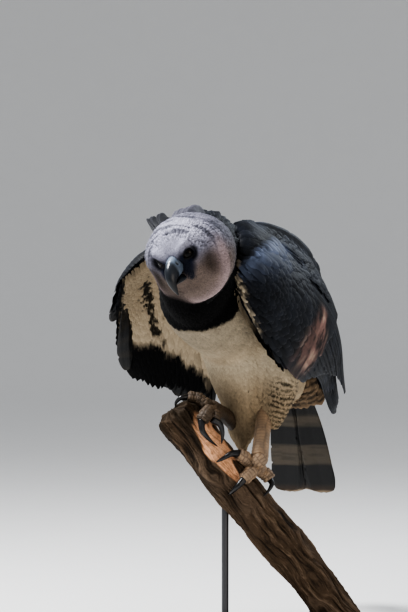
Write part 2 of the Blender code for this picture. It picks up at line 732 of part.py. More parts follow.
PAD_PLACES = {
    "left": np.array([0.0122, -0.055, 0.3386]),
    "right": np.array([-0.0700, -0.035, 0.4215]),
}

# Toes in the branch's frame: along it from its broken end, angle round it towards the viewer in degrees, and
# height above its bark. Each toe runs from the pad to its claw, and each claw from the toe to its tip.
TOES = {
    "left": {
        "inner": ((0.136, 24, 0.014), (0.121, 32, 0.015), (0.1105, 38, 0.014)),
        "middle": ((0.147, 24, 0.014), (0.1485, 44, 0.012), (0.149, 66, 0.011)),
        "outer": ((0.158, 10, 0.015), (0.172, 6, 0.018), (0.182, 8, 0.018)),
        "hind": ((0.146, -22, 0.014), (0.143, -50, 0.012), (0.140, -78, 0.011)),
    },
    "right": {
        "inner": ((0.029, 20, 0.015), (0.036, 28, 0.018), (0.0400, 36, 0.017)),
        "middle": ((0.024, 30, 0.015), (0.024, 45, 0.016), (0.0270, 58, 0.014)),
        "outer": ((0.012, 10, 0.012), (-0.004, 8, 0.006), (-0.017, 14, -0.004)),
        "hind": ((0.026, -24, 0.014), (0.028, -52, 0.012), (0.030, -80, 0.011)),
    },
}
CLAWS = {
    "left": {
        "inner": ((0.1105, 38, 0.014), (0.102, 54, 0.016), (0.099, 72, 0.010), (0.0975, 86, 0.0012)),
        "middle": ((0.149, 66, 0.011), (0.151, 84, 0.012), (0.153, 100, 0.008), (0.154, 113, 0.0012)),
        "outer": ((0.182, 8, 0.018), (0.189, 16, 0.017), (0.193, 28, 0.010), (0.1945, 41, 0.0012)),
        "hind": ((0.140, -78, 0.011), (0.137, -100, 0.014), (0.135, -122, 0.010), (0.134, -142, 0.0012)),
    },
    "right": {
        "inner": ((0.0400, 36, 0.017), (0.053, 33, 0.019), (0.069, 36, 0.012), (0.0800, 42, 0.0012)),
        "middle": ((0.0270, 58, 0.014), (0.041, 70, 0.017), (0.060, 68, 0.011), (0.0785, 57, 0.0012)),
        "outer": ((-0.017, 14, -0.004), (-0.023, 26, -0.012), (-0.022, 38, -0.022), (-0.016, 46, -0.030)),
        "hind": ((0.030, -80, 0.011), (0.033, -102, 0.014), (0.035, -124, 0.010), (0.036, -144, 0.0012)),
    },
}
TOE_RADIUS = 0.0112
CLAW_RADIUS = {"inner": 0.0066, "middle": 0.0060, "outer": 0.0050, "hind": 0.0072}


def branch_axes():
    """The branch's run, its upper side and the side towards the viewer."""
    run = unit(PERCH_FOOT - PERCH_TOP)
    viewer = unit(np.array([0, -1.0, 0]) + run * run[1])
    return run, np.cross(run, viewer) * -1.0, viewer


def branch_radius(along):
    """Radius of the branch at a distance from its broken end."""
    length = np.linalg.norm(PERCH_FOOT - PERCH_TOP)
    share = np.clip(np.asarray(along, float) / length, 0, 1)
    return PERCH_RADIUS_TOP + (PERCH_RADIUS_FOOT - PERCH_RADIUS_TOP) * share


def on_branch(places):
    """World points of (along, angle, height) places on the branch."""
    along, angle, height = np.asarray(places, float).T
    run, upper, viewer = branch_axes()
    reach = (branch_radius(along) + height)[:, None]
    turn = np.radians(angle)[:, None]
    return PERCH_TOP + run * along[:, None] + reach * (np.cos(turn) * upper + np.sin(turn) * viewer)


def make_perch():
    """The branch: a tapered, slightly crooked log with furrows and a broken upper end."""
    run, upper, viewer = branch_axes()
    length = np.linalg.norm(PERCH_FOOT - PERCH_TOP)
    shares = np.array([-0.035, -0.02, 0.0, 0.05, 0.13, 0.22, 0.32, 0.44, 0.57, 0.71, 0.86, 1.0])
    around = 20
    angles = np.linspace(0, 2 * math.pi, around, endpoint=False)
    rings = []
    for share in shares:
        along = share * length
        furrow = 0.0010 * np.sin(5 * angles + 3 * share) + 0.0007 * np.sin(9 * angles - 5 * share + 1.0)
        swell = 0.0012 * np.sin(9 * share + 2 * np.cos(angles))
        radius = branch_radius(along) + furrow + swell
        if share < 0:
            radius = radius * (0.80 if share > -0.03 else 0.45)
        ragged = 0.006 * np.sin(3 * angles + 1.0) + 0.003 * np.sin(7 * angles)
        shift = along + (ragged if share <= 0 else 0 * ragged)
        rings.append(
            PERCH_TOP
            + run * shift[:, None]
            + radius[:, None] * (np.cos(angles)[:, None] * upper + np.sin(angles)[:, None] * viewer)
        )
    return tube("perch", rings, "branch_wood")


def smooth_path(points, count):
    """Points evenly placed along a smooth curve through a few points."""
    points = np.asarray(points, float)
    rows = np.column_stack([np.linspace(0, 1, len(points)), points])
    return hermite(rows, np.linspace(0, 1, count))


def across_path(path):
    """The direction square to a toe's or claw's own curve plane, which stands on the branch."""
    run = branch_axes()[0]
    middle = path[len(path) // 2] - PERCH_TOP
    away = middle - run * (middle @ run)
    return unit(np.cross(path[-1] - path[0], away))


HEM_VANES = 6
HEM_WIDTH = 0.024


def thigh_surface(name, places, angle):
    """Points and outward normals of a thigh at places down it, on past its hem, in one direction round it."""
    rows = THIGHS[name]
    inside = np.minimum(places, 1.0)
    values = hermite(rows, inside)
    past = (places - inside)[:, None]
    end_run = np.array(rows[-1][1:4]) - np.array(rows[-2][1:4])
    centres = values[:, :3] + past * end_run / (rows[-1][0] - rows[-2][0])
    shrink = 1 - 1.0 * past
    ahead = unit(np.array([0.05, -1.0, 0.0]))
    side = values[:, 3:4] * math.cos(angle) * LEFT * shrink
    front = values[:, 4:5] * math.sin(angle) * ahead * shrink
    points = centres + side + front
    return points, unit(side / values[:, 3:4] ** 2 + front / values[:, 4:5] ** 2)


def make_thigh(name):
    """A feathered thigh from inside the belly down to the heel, with loose vanes round its hem."""
    places = np.array([0.0, 0.18, 0.36, 0.52, 0.68, 0.84, 1.0])
    angles = np.linspace(0, 2 * math.pi, 16, endpoint=False)
    rings = np.stack([thigh_surface(name, places, angle)[0] for angle in angles], axis=1)
    leg = tube(name, rings, "white_plumage")
    vanes = []
    spots = np.array([p for p, _ in SHORT_VANE])
    for k in range(HEM_VANES):
        angle = 2 * math.pi * (k + 0.25) / HEM_VANES
        start, end = 0.90, 1.18 + random.uniform(-0.02, 0.02)
        line, normals = thigh_surface(name, start + (end - start) * spots, angle)
        depth = -0.0022 - 0.0014 * (k % 2)
        vanes.append(vane(line + normals * depth, normals, HEM_WIDTH, SHORT_VANE, 0.20))
    return apply_boolean(leg, vanes, "UNION", "MANIFOLD")


def make_tarsus(name):
    """A bare shank with a row of raised scutes down its front."""
    scutes = 7
    path = smooth_path(TARSI[name], 2 * scutes + 1)
    shares = np.linspace(0, 1, len(path))
    swell = 1 + 0.10 * np.abs(2 * shares - 1) ** 2
    step = np.where(np.arange(len(path)) % 2 == 0, 0.0009, -0.0004)
    rings = path_rings(path, LEFT, TARSUS_RADIUS * swell, 10, 0.92)
    front = np.array([-0.3, -1.0, 0.2])
    spokes = unit(rings - path[:, None])
    facing = np.clip(spokes @ unit(front), 0, 1) ** 0.5
    return tube(name, rings + spokes * (facing * step[:, None])[..., None], "leg_skin")


def make_foot(side, perch):
    """The pad and four toes of one foot, cut to sit on the branch."""
    run, upper, viewer = branch_axes()
    pad_path = PAD_PLACES[side] + np.outer([-0.013, -0.008, 0.0, 0.008, 0.013], run)
    pad = tube(
        "foot_" + side, path_rings(pad_path, viewer, [0.006, 0.0135, 0.0160, 0.0135, 0.006], 12), "leg_skin"
    )
    toes = []
    for toe in TOES[side].values():
        points = np.concatenate([[PAD_PLACES[side]], on_branch(toe)])
        path = smooth_path(points, 8)
        swell = np.array([1.0, 1.05, 0.94, 1.08, 0.94, 1.07, 1.02, 0.74])
        toes.append(tube("toe", path_rings(path, across_path(path), TOE_RADIUS * swell, 8), "leg_skin"))
    apply_boolean(pad, toes, "UNION")
    return carve(pad, perch)


def make_claw(side, toe, foot, perch):
    """One curved, tapered claw."""
    path = smooth_path(on_branch(CLAWS[side][toe]), 7)
    shares = np.linspace(0, 1, 7)
    radii = CLAW_RADIUS[toe] * (1 - shares) ** 0.75 + 0.0007
    claw = tube(f"claw_{side}_{toe}", path_rings(path, across_path(path), radii, 8), "claw_horn")
    return carve(claw, foot, perch)


# Stand


def make_stand(perch):
    """A flat base and two short rods up to the branch."""
    wide, deep, high = BASE_SIZE
    corners = [(x * wide / 2, y * deep / 2, z * high) for z in (0, 1) for y in (-1, 1) for x in (-1, 1)]
    faces = [(0, 2, 3, 1), (4, 5, 7, 6), (0, 1, 5, 4), (2, 6, 7, 3), (0, 4, 6, 2), (1, 3, 7, 5)]
    base = new_object("stand_base", corners, faces, "stand_wood", smooth=False)
    bevel = base.modifiers.new("rounded_edges", "BEVEL")
    bevel.width = BASE_BEVEL
    bevel.segments = 2
    run = unit(PERCH_FOOT - PERCH_TOP)
    for name, x in ROD_PLACES.items():
        share = (x - PERCH_TOP[0]) / run[0]
        axis = PERCH_TOP + run * share
        foot = np.array([x, axis[1], high + GAP])
        path = [foot, (foot + axis) / 2, axis - np.array([0, 0, 0.030])]
        rod = tube(name, path_rings(path, [1, 0, 0], [ROD_RADIUS] * 3, 12), "stand_steel")
        carve(rod, perch)


def main():
    """Builds every node."""
    random.seed(7)
    for old in list(bpy.data.objects):
        bpy.data.objects.remove(old)
    torso = tube("torso", spine_rings(TORSO, np.linspace(0, 1, 13), 20), "white_plumage")
    skull = make_head()
    make_eyes()
    make_bill(skull)
    neck = tube("neck", spine_rings(NECK, np.linspace(0, 1, 7), 18), "black_plumage")
    carve(neck, torso, skull)
    perch = make_perch()
    feet = {side: make_foot(side, perch) for side in TOES}
    legs = []
    for side, foot in feet.items():
        shank = carve(make_tarsus("tarsus_" + side), foot, perch)
        thigh = make_thigh("thigh_" + side)
        legs.append(carve(thigh, torso, shank, foot, perch, *legs[:1], solver="MANIFOLD"))
        for toe in CLAWS[side]:
            make_claw(side, toe, foot, perch)
    wings = [carve(make_wing(name), torso, neck, *legs, perch, solver="MANIFOLD") for name in WINGS]
    carve(make_tail(), torso, *legs, *wings, solver="MANIFOLD")
    make_stand(perch)


main()
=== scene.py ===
"""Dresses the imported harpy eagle: skin, feather coat, bill, eyes, scaled legs, bark and stand, in a plain studio.

All lengths are in metres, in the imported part's own frame: Z is up and the bird looks towards -Y. The bird's own
shapes are laid out as (forward, left, up) from the middle of its body, with the same named sizes as its solids.
"""

from __future__ import annotations

import logging
import math
from dataclasses import dataclass
from enum import Enum

import bpy
import numpy as np
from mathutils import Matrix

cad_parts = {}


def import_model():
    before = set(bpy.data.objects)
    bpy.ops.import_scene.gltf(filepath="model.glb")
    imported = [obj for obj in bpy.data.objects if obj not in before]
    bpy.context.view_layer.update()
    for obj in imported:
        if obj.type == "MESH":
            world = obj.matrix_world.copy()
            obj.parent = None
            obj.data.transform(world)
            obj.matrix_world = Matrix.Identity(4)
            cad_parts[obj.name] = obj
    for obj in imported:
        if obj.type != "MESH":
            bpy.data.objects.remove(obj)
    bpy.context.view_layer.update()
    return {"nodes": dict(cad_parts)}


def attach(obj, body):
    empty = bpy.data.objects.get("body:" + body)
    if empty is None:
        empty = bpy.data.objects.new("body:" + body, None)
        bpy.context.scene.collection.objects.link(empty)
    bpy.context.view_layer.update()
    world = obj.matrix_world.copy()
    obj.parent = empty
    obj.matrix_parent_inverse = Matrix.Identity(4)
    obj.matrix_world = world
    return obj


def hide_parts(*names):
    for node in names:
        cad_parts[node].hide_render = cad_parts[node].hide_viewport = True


LOG = logging.getLogger("harpy")
BAKE_MAP = "OFBake"
VANE_MAP = "vane"
TINT = "tint"
BAKE_PATCH = 0.003  # side of one feather's patch on the bake map
PIXEL = 0.0017  # what one pixel of the 408 by 612 frame spans at the bird
FRAME_ROWS = 612  # pixels in the frame's height
VANE_THICK = 0.0009  # a long feather's thickness at its shaft
Array = np.ndarray
Tree, Socket = bpy.types.NodeTree, bpy.types.NodeSocket
Triple, Numbers = tuple[float, float, float], tuple[float, ...]


# Small tools


def unit(vectors: Array) -> Array:
    """Vectors of length one, along the last axis."""
    vectors = np.asarray(vectors, float)
    return vectors / np.maximum(np.linalg.norm(vectors, axis=-1, keepdims=True), 1e-12)


def smooth(values: Array, low: float, high: float) -> Array:
    """Smoothstep: 0 below low, 1 above high, and 3t^2 - 2t^3 between."""
    t = np.clip((np.asarray(values, float) - low) / (high - low), 0, 1)
    return t * t * (3 - 2 * t)


def bell(values: Array, middle: float, spread: float) -> Array:
    """A bell curve: exp of minus the squared distance from middle in spreads."""
    return np.exp(-(((np.asarray(values, float) - middle) / spread) ** 2))


def mix(first: Array, second: Array, share: Array) -> Array:
    """Colours blended by a share per point."""
    share = np.asarray(share, float)[..., None]
    return np.asarray(first, float) * (1 - share) + np.asarray(second, float) * share


def circle(count: int) -> Array:
    """Angles evenly round a circle, from 0."""
    return np.linspace(0, 2 * math.pi, count, endpoint=False)


def hermite(rows: Array, places: Array) -> Array:
    """A smooth curve through rows, whose first column says where along it each one stands.

    Args:
        rows: one row per key, with its place first and its values after it.
        places: where to read the curve, of any shape.

    Returns:
        The values at each place, on a new last axis, by cubic Hermite pieces with central slopes.
    """
    rows = np.asarray(rows, float)
    keys, values = rows[:, 0], rows[:, 1:]
    places = np.clip(np.asarray(places, float), keys[0], keys[-1])
    slopes = np.gradient(values, keys, axis=0)
    index = np.clip(np.searchsorted(keys, places) - 1, 0, len(keys) - 2)
    span = (keys[index + 1] - keys[index])[..., None]
    t = (places - keys[index])[..., None] / span
    return (
        (2 * t**3 - 3 * t**2 + 1) * values[index]
        + (t**3 - 2 * t**2 + t) * span * slopes[index]
        + (-2 * t**3 + 3 * t**2) * values[index + 1]
        + (t**3 - t**2) * span * slopes[index + 1]
    )


def lattice_noise(points: Array, seed: int = 0) -> Array:
    """Smooth noise from -1 to 1: random heights on a unit lattice, blended with smoothstep on each axis."""
    points = np.asarray(points, float)
    cell = np.floor(points).astype(np.int64)
    part = points - cell
    part = part * part * (3 - 2 * part)
    total = np.zeros(points.shape[:-1])
    for corner in range(8):
        offset = np.array([(corner >> axis) & 1 for axis in range(3)])
        key = (cell + offset) @ np.array([73856093, 19349663, 83492791]) + seed * 2654435761
        key = ((key ^ (key >> 13)) * 1274126177) & 0xFFFFFFFF
        value = ((key >> 8) & 0xFFFF) / 65535.0
        weight = np.prod(np.where(offset == 1, part, 1 - part), axis=-1)
        total += weight * value
    return total * 2 - 1


def ridged(points: Array, octaves: int, seed: int = 0) -> Array:
    """Sum of noises of doubling frequency and halving height."""
    total, height = np.zeros(np.asarray(points).shape[:-1]), 1.0
    for octave in range(octaves):
        total += height * lattice_noise(np.asarray(points) * 2**octave, seed + octave)
        height *= 0.5
    return total


def grid_quads(rows: int, columns: int, wrap: bool) -> Array:
    """Quads of a grid of rows by columns, closed round the columns if wrap is set."""
    across = columns if wrap else columns - 1
    row, column = np.meshgrid(np.arange(rows - 1), np.arange(across), indexing="ij")
    after = (column + 1) % columns
    quads = np.stack(
        [row * columns + column, row * columns + after, (row + 1) * columns + after, (row + 1) * columns + column],
        axis=-1,
    )
    return quads.reshape(-1, 4)


# Frames of the bird and of its head


@dataclass(frozen=True)
class Frame:
    """A set of axes with an origin, as rows (forward, left, up)."""

    origin: Triple
    axes: tuple[Triple, ...]

    def out(self, points: Array) -> Array:
        """World places of places in this frame."""
        return np.array(self.origin) + np.asarray(points, float) @ np.array(self.axes)

    def into(self, points: Array) -> Array:
        """Places in this frame of world places."""
        return (np.asarray(points, float) - np.array(self.origin)) @ np.array(self.axes).T

    def turn(self, vectors: Array) -> Array:
        """World directions of directions in this frame."""
        return np.asarray(vectors, float) @ np.array(self.axes)


def turned_axes(yaw: float, pitch: float, roll: float) -> tuple[Numbers, ...]:
    """Axes that look towards -Y, turned by yaw to the bird's right, raised by pitch, then rolled, in degrees."""
    yaw, pitch, roll = map(math.radians, (yaw, pitch, roll))
    forward = np.array([-math.sin(yaw) * math.cos(pitch), -math.cos(yaw) * math.cos(pitch), math.sin(pitch)])
    left = np.array([math.cos(yaw), -math.sin(yaw), 0.0])
    tilted = math.cos(roll) * left + math.sin(roll) * np.cross(forward, left)
    return tuple(map(tuple, (forward, tilted, np.cross(forward, tilted))))


HEAD_PLACE = (0.276, 0.043, -0.071)
BIRD = Frame((-0.019, 0.0, 0.6017), turned_axes(27.0, 30.0, 0.0))
HEAD = Frame(tuple(BIRD.out(HEAD_PLACE)), turned_axes(30.0, -22.0, 16.0))


# Finishes


class Surface(Enum):
    """The relief that a finish has."""

    PLUME = "plume"
    DOWN = "down"
    HORN = "horn"
    SCALES = "scales"
    BARK = "bark"
    WOOD = "wood"
    METAL = "metal"
    WET = "wet"
    FLOOR = "floor"


def new_group(name: str, inputs: dict[str, float], outputs: dict[str, str]) -> tuple:
    """An empty shader node group with a vector input, number inputs and named outputs.

    Args:
        name: the group's name.
        inputs: the default of each number input.
        outputs: the socket type of each output.

    Returns:
        The group, its input node and its output node.
    """
    group = bpy.data.node_groups.new(name, "ShaderNodeTree")
    group.interface.new_socket("Place", in_out="INPUT", socket_type="NodeSocketVector")
    for label, value in inputs.items():
        socket = group.interface.new_socket(label, in_out="INPUT", socket_type="NodeSocketFloat")
        socket.default_value = value
    for label, kind in outputs.items():
        group.interface.new_socket(label, in_out="OUTPUT", socket_type=kind)
    return group, group.nodes.new("NodeGroupInput"), group.nodes.new("NodeGroupOutput")


def maths(tree: Tree, operation: str, *values: object) -> Socket:
    """A Math node fed by numbers or sockets, and its output."""
    node = tree.nodes.new("ShaderNodeMath")
    node.operation = operation
    for index, value in enumerate(values):
        if isinstance(value, (int, float)):
            node.inputs[index].default_value = value
        else:
            tree.links.new(value, node.inputs[index])
    return node.outputs[0]


def add_node(tree: Tree, kind: str, place: Socket | None = None, **values: object) -> bpy.types.Node:
    """A shader node with its Vector input fed by a place and its named inputs set."""
    node = tree.nodes.new("ShaderNode" + kind)
    if place is not None:
        tree.links.new(place, node.inputs["Vector"])
    for label, value in values.items():
        node.inputs[label].default_value = value
    return node


def use_group(tree: Tree, group: Tree, place: Socket, **values: float) -> bpy.types.Node:
    """A node that holds a shared group, with its own place and values."""
    node = tree.nodes.new("ShaderNodeGroup")
    node.node_tree = group
    tree.links.new(place, node.inputs["Place"])
    for label, value in values.items():
        node.inputs[label].default_value = value
    return node


def barb_group() -> Tree:
    """Barbs of a vane: fine lines that slant from the shaft to the edge, as sin of (along - slant x |across|).

    Place is the vane's own place in centimetres. Shade is a share to darken the colour by, Height is for a bump.
    """
    found = bpy.data.node_groups.get("barbs")
    if found:
        return found
    kinds = {"Shade": "NodeSocketFloat", "Height": "NodeSocketFloat"}
    group, start, end = new_group("barbs", {"Lines": 12.0, "Slant": 1.3, "Depth": 0.3}, kinds)
    split = group.nodes.new("ShaderNodeSeparateXYZ")
    group.links.new(start.outputs["Place"], split.inputs[0])
    aside = maths(group, "ABSOLUTE", split.outputs["X"])
    run = maths(group, "SUBTRACT", split.outputs["Y"], maths(group, "MULTIPLY", aside, start.outputs["Slant"]))
    noise = add_node(group, "TexNoise", start.outputs["Place"], Scale=3.0)
    run = maths(group, "ADD", run, maths(group, "MULTIPLY", noise.outputs[0], 0.25))
    turns = maths(group, "MULTIPLY", run, maths(group, "MULTIPLY", start.outputs["Lines"], 2 * math.pi))
    wave = maths(group, "MULTIPLY_ADD", maths(group, "SINE", turns), 0.5, 0.5)
    shaft = maths(group, "SMOOTH_MIN", maths(group, "MULTIPLY", aside, 30.0), 1.0, 0.2)
    height = maths(group, "SUBTRACT", maths(group, "MULTIPLY", wave, 0.35), maths(group, "MULTIPLY", shaft, 0.65))
    group.links.new(height, end.inputs["Height"])
    uneven = maths(group, "MULTIPLY", wave, maths(group, "ADD", noise.outputs[0], 0.2))
    group.links.new(maths(group, "MULTIPLY", uneven, start.outputs["Depth"]), end.inputs["Shade"])
    return group


def mottle_group() -> Tree:
    """Uneven tone: two noises of different size, as a share around one half."""
    found = bpy.data.node_groups.get("mottle")
    if found:
        return found
    kinds = {"Tone": "NodeSocketFloat"}
    group, start, end = new_group("mottle", {"Coarse": 20.0, "Fine": 160.0}, kinds)
    tones = []
    for label in ("Coarse", "Fine"):
        noise = add_node(group, "TexNoise", start.outputs["Place"], Detail=3.0)
        group.links.new(start.outputs[label], noise.inputs["Scale"])
        tones.append(noise.outputs[0])
    total = maths(group, "MULTIPLY", maths(group, "ADD", *tones), 0.5)
    group.links.new(total, end.inputs["Tone"])
    return group


@dataclass(frozen=True)
class Finish:
    """A procedural finish: a colour, or the piece's own tint, broken up by a pattern that fits its surface."""

    name: str
    surface: Surface
    colour: Triple | None = None
    roughness: float = 0.6
    specular: float = 0.5
    metallic: float = 0.0
    sheen: float = 0.0
    coat: float = 0.0
    relief: float = 0.3
    contrast: float = 0.25
    coarse: float = 20.0
    fine: float = 160.0
    step: float = 0.0006

    def build(self) -> bpy.types.Material:
        """The material, made once."""
        found = bpy.data.materials.get("coat_" + self.name)
        if found:
            return found
        made = bpy.data.materials.new("coat_" + self.name)
        made.use_nodes = True
        tree = made.node_tree
        shader = tree.nodes["Principled BSDF"]
        values = (self.roughness, self.specular, self.metallic, self.sheen, self.coat)
        for label, value in zip(("Roughness", "Specular IOR Level", "Metallic", "Sheen Weight", "Coat Weight"), values):
            shader.inputs[label].default_value = value
        place = tree.nodes.new("ShaderNodeTexCoord").outputs["Object"]
        height = shade = use_group(tree, mottle_group(), place, Coarse=self.coarse, Fine=self.fine).outputs["Tone"]
        if self.surface in (Surface.PLUME, Surface.DOWN):
            height, shade = self.barbs(tree, shade)
        elif self.surface is Surface.SCALES:
            height = self.scales(tree, place)
        elif self.surface in (Surface.BARK, Surface.WOOD):
            height = shade = self.fibres(tree, place, shade)
        self.paint(tree, shader, shade)
        bump = add_node(tree, "Bump", Strength=self.relief, Distance=self.step)
        tree.links.new(height, bump.inputs["Height"])
        tree.links.new(bump.outputs[0], shader.inputs["Normal"])
        return made

    def barbs(self, tree: Tree, tone: Socket) -> tuple:
        """Height and shade of a vane's barbs, with the uneven tone added."""
        vane = tree.nodes.new("ShaderNodeUVMap")
        vane.uv_map = VANE_MAP
        count, slant = (7.0, 2.6) if self.surface is Surface.DOWN else (9.0, 1.2)
        lines = use_group(tree, barb_group(), vane.outputs[0], Lines=count, Slant=slant, Depth=1.0)
        darker = maths(tree, "MULTIPLY", lines.outputs["Shade"], 0.5)
        return lines.outputs["Height"], maths(tree, "SUBTRACT", tone, darker)

    def scales(self, tree: Tree, place: Socket) -> Socket:
        """Height of small round scales: the distance to the edge of cells."""
        cells = add_node(tree, "TexVoronoi", place, Scale=700.0)
        cells.feature = "DISTANCE_TO_EDGE"
        return maths(tree, "SMOOTH_MIN", maths(tree, "MULTIPLY", cells.outputs["Distance"], 3.0), 0.5, 0.3)

    def fibres(self, tree: Tree, place: Socket, tone: Socket) -> Socket:
        """Long grain: a noise stretched along the piece, added to the tone."""
        bark = self.surface is Surface.BARK
        lean = (0.0, math.radians(-51.0) if bark else 0.0, 0.0)
        size = (45.0, 620.0, 620.0) if bark else (12.0, 260.0, 260.0)
        run = add_node(tree, "Mapping", place, Rotation=lean, Scale=size)
        noise = add_node(tree, "TexNoise", run.outputs[0], Scale=1.0, Detail=5.0)
        return maths(tree, "MULTIPLY", maths(tree, "ADD", noise.outputs[0], tone), 0.5)

    def paint(self, tree: Tree, shader: bpy.types.Node, shade: Socket) -> None:
        """Feeds Base Color with the colour or tint times one plus contrast x (shade - 1/2)."""
        factor = maths(tree, "MULTIPLY_ADD", maths(tree, "SUBTRACT", shade, 0.5), self.contrast * 2, 1.0)
        blend = tree.nodes.new("ShaderNodeVectorMath")
        blend.operation = "SCALE"
        tree.links.new(factor, blend.inputs["Scale"])
        if self.colour is None:
            tint = tree.nodes.new("ShaderNodeAttribute")
            tint.attribute_name = TINT
            tree.links.new(tint.outputs["Color"], blend.inputs[0])
        else:
            blend.inputs[0].default_value = self.colour
        tree.links.new(blend.outputs["Vector"], shader.inputs["Base Color"])


PLUME = Finish("plume", Surface.PLUME, roughness=0.50, specular=0.20, sheen=0.02, relief=0.25, contrast=0.30)
DOWN = Finish("down", Surface.DOWN, roughness=0.8, specular=0.08, sheen=0.04, relief=0.25, contrast=0.26)
SKIN = Finish("skin", Surface.DOWN, roughness=0.85, specular=0.08, sheen=0.04, relief=0.3, contrast=0.3)
BILL = Finish("bill", Surface.HORN, roughness=0.34, coat=0.15, relief=0.12, contrast=0.35, coarse=60, fine=500)
CLAW = Finish("claw", Surface.HORN, roughness=0.28, coat=0.2, relief=0.15, contrast=0.5, coarse=80, fine=600)
LEG = Finish("leg", Surface.SCALES, roughness=0.55, specular=0.4, relief=0.5, contrast=0.35, coarse=50, fine=400)
LID = Finish("lid", Surface.SCALES, roughness=0.6, specular=0.3, relief=0.3, contrast=0.3, coarse=80, fine=500)
EYE = Finish("eye", Surface.WET, roughness=0.08, specular=0.16, coat=0.12, relief=0.0, contrast=0.1)
BARK = Finish(
    "bark", Surface.BARK, roughness=0.8, specular=0.25, relief=0.9, contrast=0.7, coarse=45, fine=260, step=0.0020
)
WOOD = Finish("wood", Surface.WOOD, (0.045, 0.028, 0.019), roughness=0.38, coat=0.25, relief=0.15, contrast=0.5)
STEEL = Finish(
    "steel", Surface.METAL, (0.09, 0.09, 0.095), roughness=0.38, metallic=0.85, relief=0.05, contrast=0.2, fine=900
)
FLOOR = Finish(
    "floor", Surface.FLOOR, (0.84, 0.83, 0.81), roughness=0.9, specular=0.15, relief=0.0, contrast=0.02, coarse=1,
    fine=8,
)


# Making meshes


def set_tint(mesh: bpy.types.Mesh, tint: Array) -> None:
    """Gives a mesh its colour at each point."""
    layer = mesh.color_attributes.new(name=TINT, type="FLOAT_COLOR", domain="POINT")
    rgba = np.concatenate([np.clip(tint, 0, 1), np.ones((len(tint), 1))], axis=1)
    layer.data.foreach_set("color", rgba.astype(np.float32).ravel())


def put_in(name: str, data: bpy.types.ID) -> bpy.types.Object:
    """A new object in the scene."""
    made = bpy.data.objects.new(name, data)
    bpy.context.scene.collection.objects.link(made)
    return made


def make_piece(
    name: str,
    points: Array,
    quads: Array,
    finish: Finish,
    tint: Array | None = None,
    maps: dict[str, Array] | None = None,
    triangles: Array | None = None,
) -> bpy.types.Object:
    """A mesh object with its tint and maps, riding on the body.

    Args:
        name: the piece's name.
        points: world places, one row each.
        quads: four point numbers a face.
        finish: what it is made of.
        tint: a colour for each point.
        maps: for each map its (u, v) at every point.
        triangles: three point numbers a face, for poles and ends.

    Returns:
        The object, in the scene.
    """
    mesh = bpy.data.meshes.new(name)
    corners = quads.reshape(-1)
    starts = np.arange(len(quads)) * 4
    if triangles is not None and len(triangles):
        starts = np.concatenate([starts, len(corners) + np.arange(len(triangles)) * 3])
        corners = np.concatenate([corners, triangles.reshape(-1)])
    mesh.vertices.add(len(points))
    mesh.vertices.foreach_set("co", np.asarray(points, np.float32).ravel())
    mesh.loops.add(len(corners))
    mesh.loops.foreach_set("vertex_index", corners.astype(np.int32))
    mesh.polygons.add(len(starts))
    mesh.polygons.foreach_set("loop_start", starts.astype(np.int32))
    mesh.update(calc_edges=True)
    mesh.shade_smooth()
    if tint is not None:
        set_tint(mesh, tint)
    for label, values in (maps or {}).items():
        layer = mesh.uv_layers.new(name=label)
        layer.data.foreach_set("uv", values[corners].astype(np.float32).ravel())
    mesh.materials.append(finish.build())
    mesh.validate()
    made = put_in(name, mesh)
    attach(made, "root")
    return made


def closed_tube(rings: Array) -> tuple[Array, Array, Array]:
    """Points, quads and end triangles of a closed surface round a row of rings."""
    count, around = rings.shape[:2]
    points = np.concatenate([rings.reshape(-1, 3), rings[[0, -1]].mean(axis=1)])
    quads = grid_quads(count, around, True)
    a = np.arange(around)
    b = (a + 1) % around
    first, last = count * around, count * around + 1
    start = np.stack([np.full(around, first), b, a], axis=1)
    end = np.stack([np.full(around, last), a + (count - 1) * around, b + (count - 1) * around], axis=1)
    triangles = np.concatenate([start, end])
    middle = points.mean(axis=0)
    corners = points[quads] - middle
    volume = np.einsum("ij,ij->i", corners[:, 0], np.cross(corners[:, 1], corners[:, 2])).sum()
    if volume < 0:
        quads, triangles = quads[:, ::-1], triangles[:, ::-1]
    return points, quads, triangles


def join_tubes(tubes: list[tuple[Array, Array, Array]]) -> tuple[Array, Array, Array]:
    """Several closed surfaces as one: the faces of each count on from the points before it."""
    starts = np.cumsum([0] + [len(tube[0]) for tube in tubes[:-1]])
    quads, triangles = (np.concatenate([tube[k] + start for tube, start in zip(tubes, starts)]) for k in (1, 2))
    return np.concatenate([tube[0] for tube in tubes]), quads, triangles


def tube_piece(name: str, parts: list[tuple[Array, Array]], finish: Finish, node: str) -> None:
    """Closed tubes, each of world rings and their colours, as one piece in place of a solid."""
    points, quads, triangles = join_tubes([closed_tube(rings) for rings, _ in parts])
    tint = [rows for _, colour in parts for rows in (colour.reshape(-1, 3), colour[[0, -1]].mean(axis=1))]
    made = make_piece(name, points, quads, finish, np.concatenate(tint), triangles=triangles)
    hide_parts(node)
    LOG.info("%s: %d faces", name, len(quads))


def ball_ways(tilt: Array, turn: Array, axes: Array = np.eye(3)) -> Array:
    """Directions at an angle from the first of three axes and a turn round it."""
    aside, level = np.sin(tilt) * np.cos(turn), np.sin(tilt) * np.sin(turn)
    return np.cos(tilt)[..., None] * axes[0] + aside[..., None] * axes[1] + level[..., None] * axes[2]


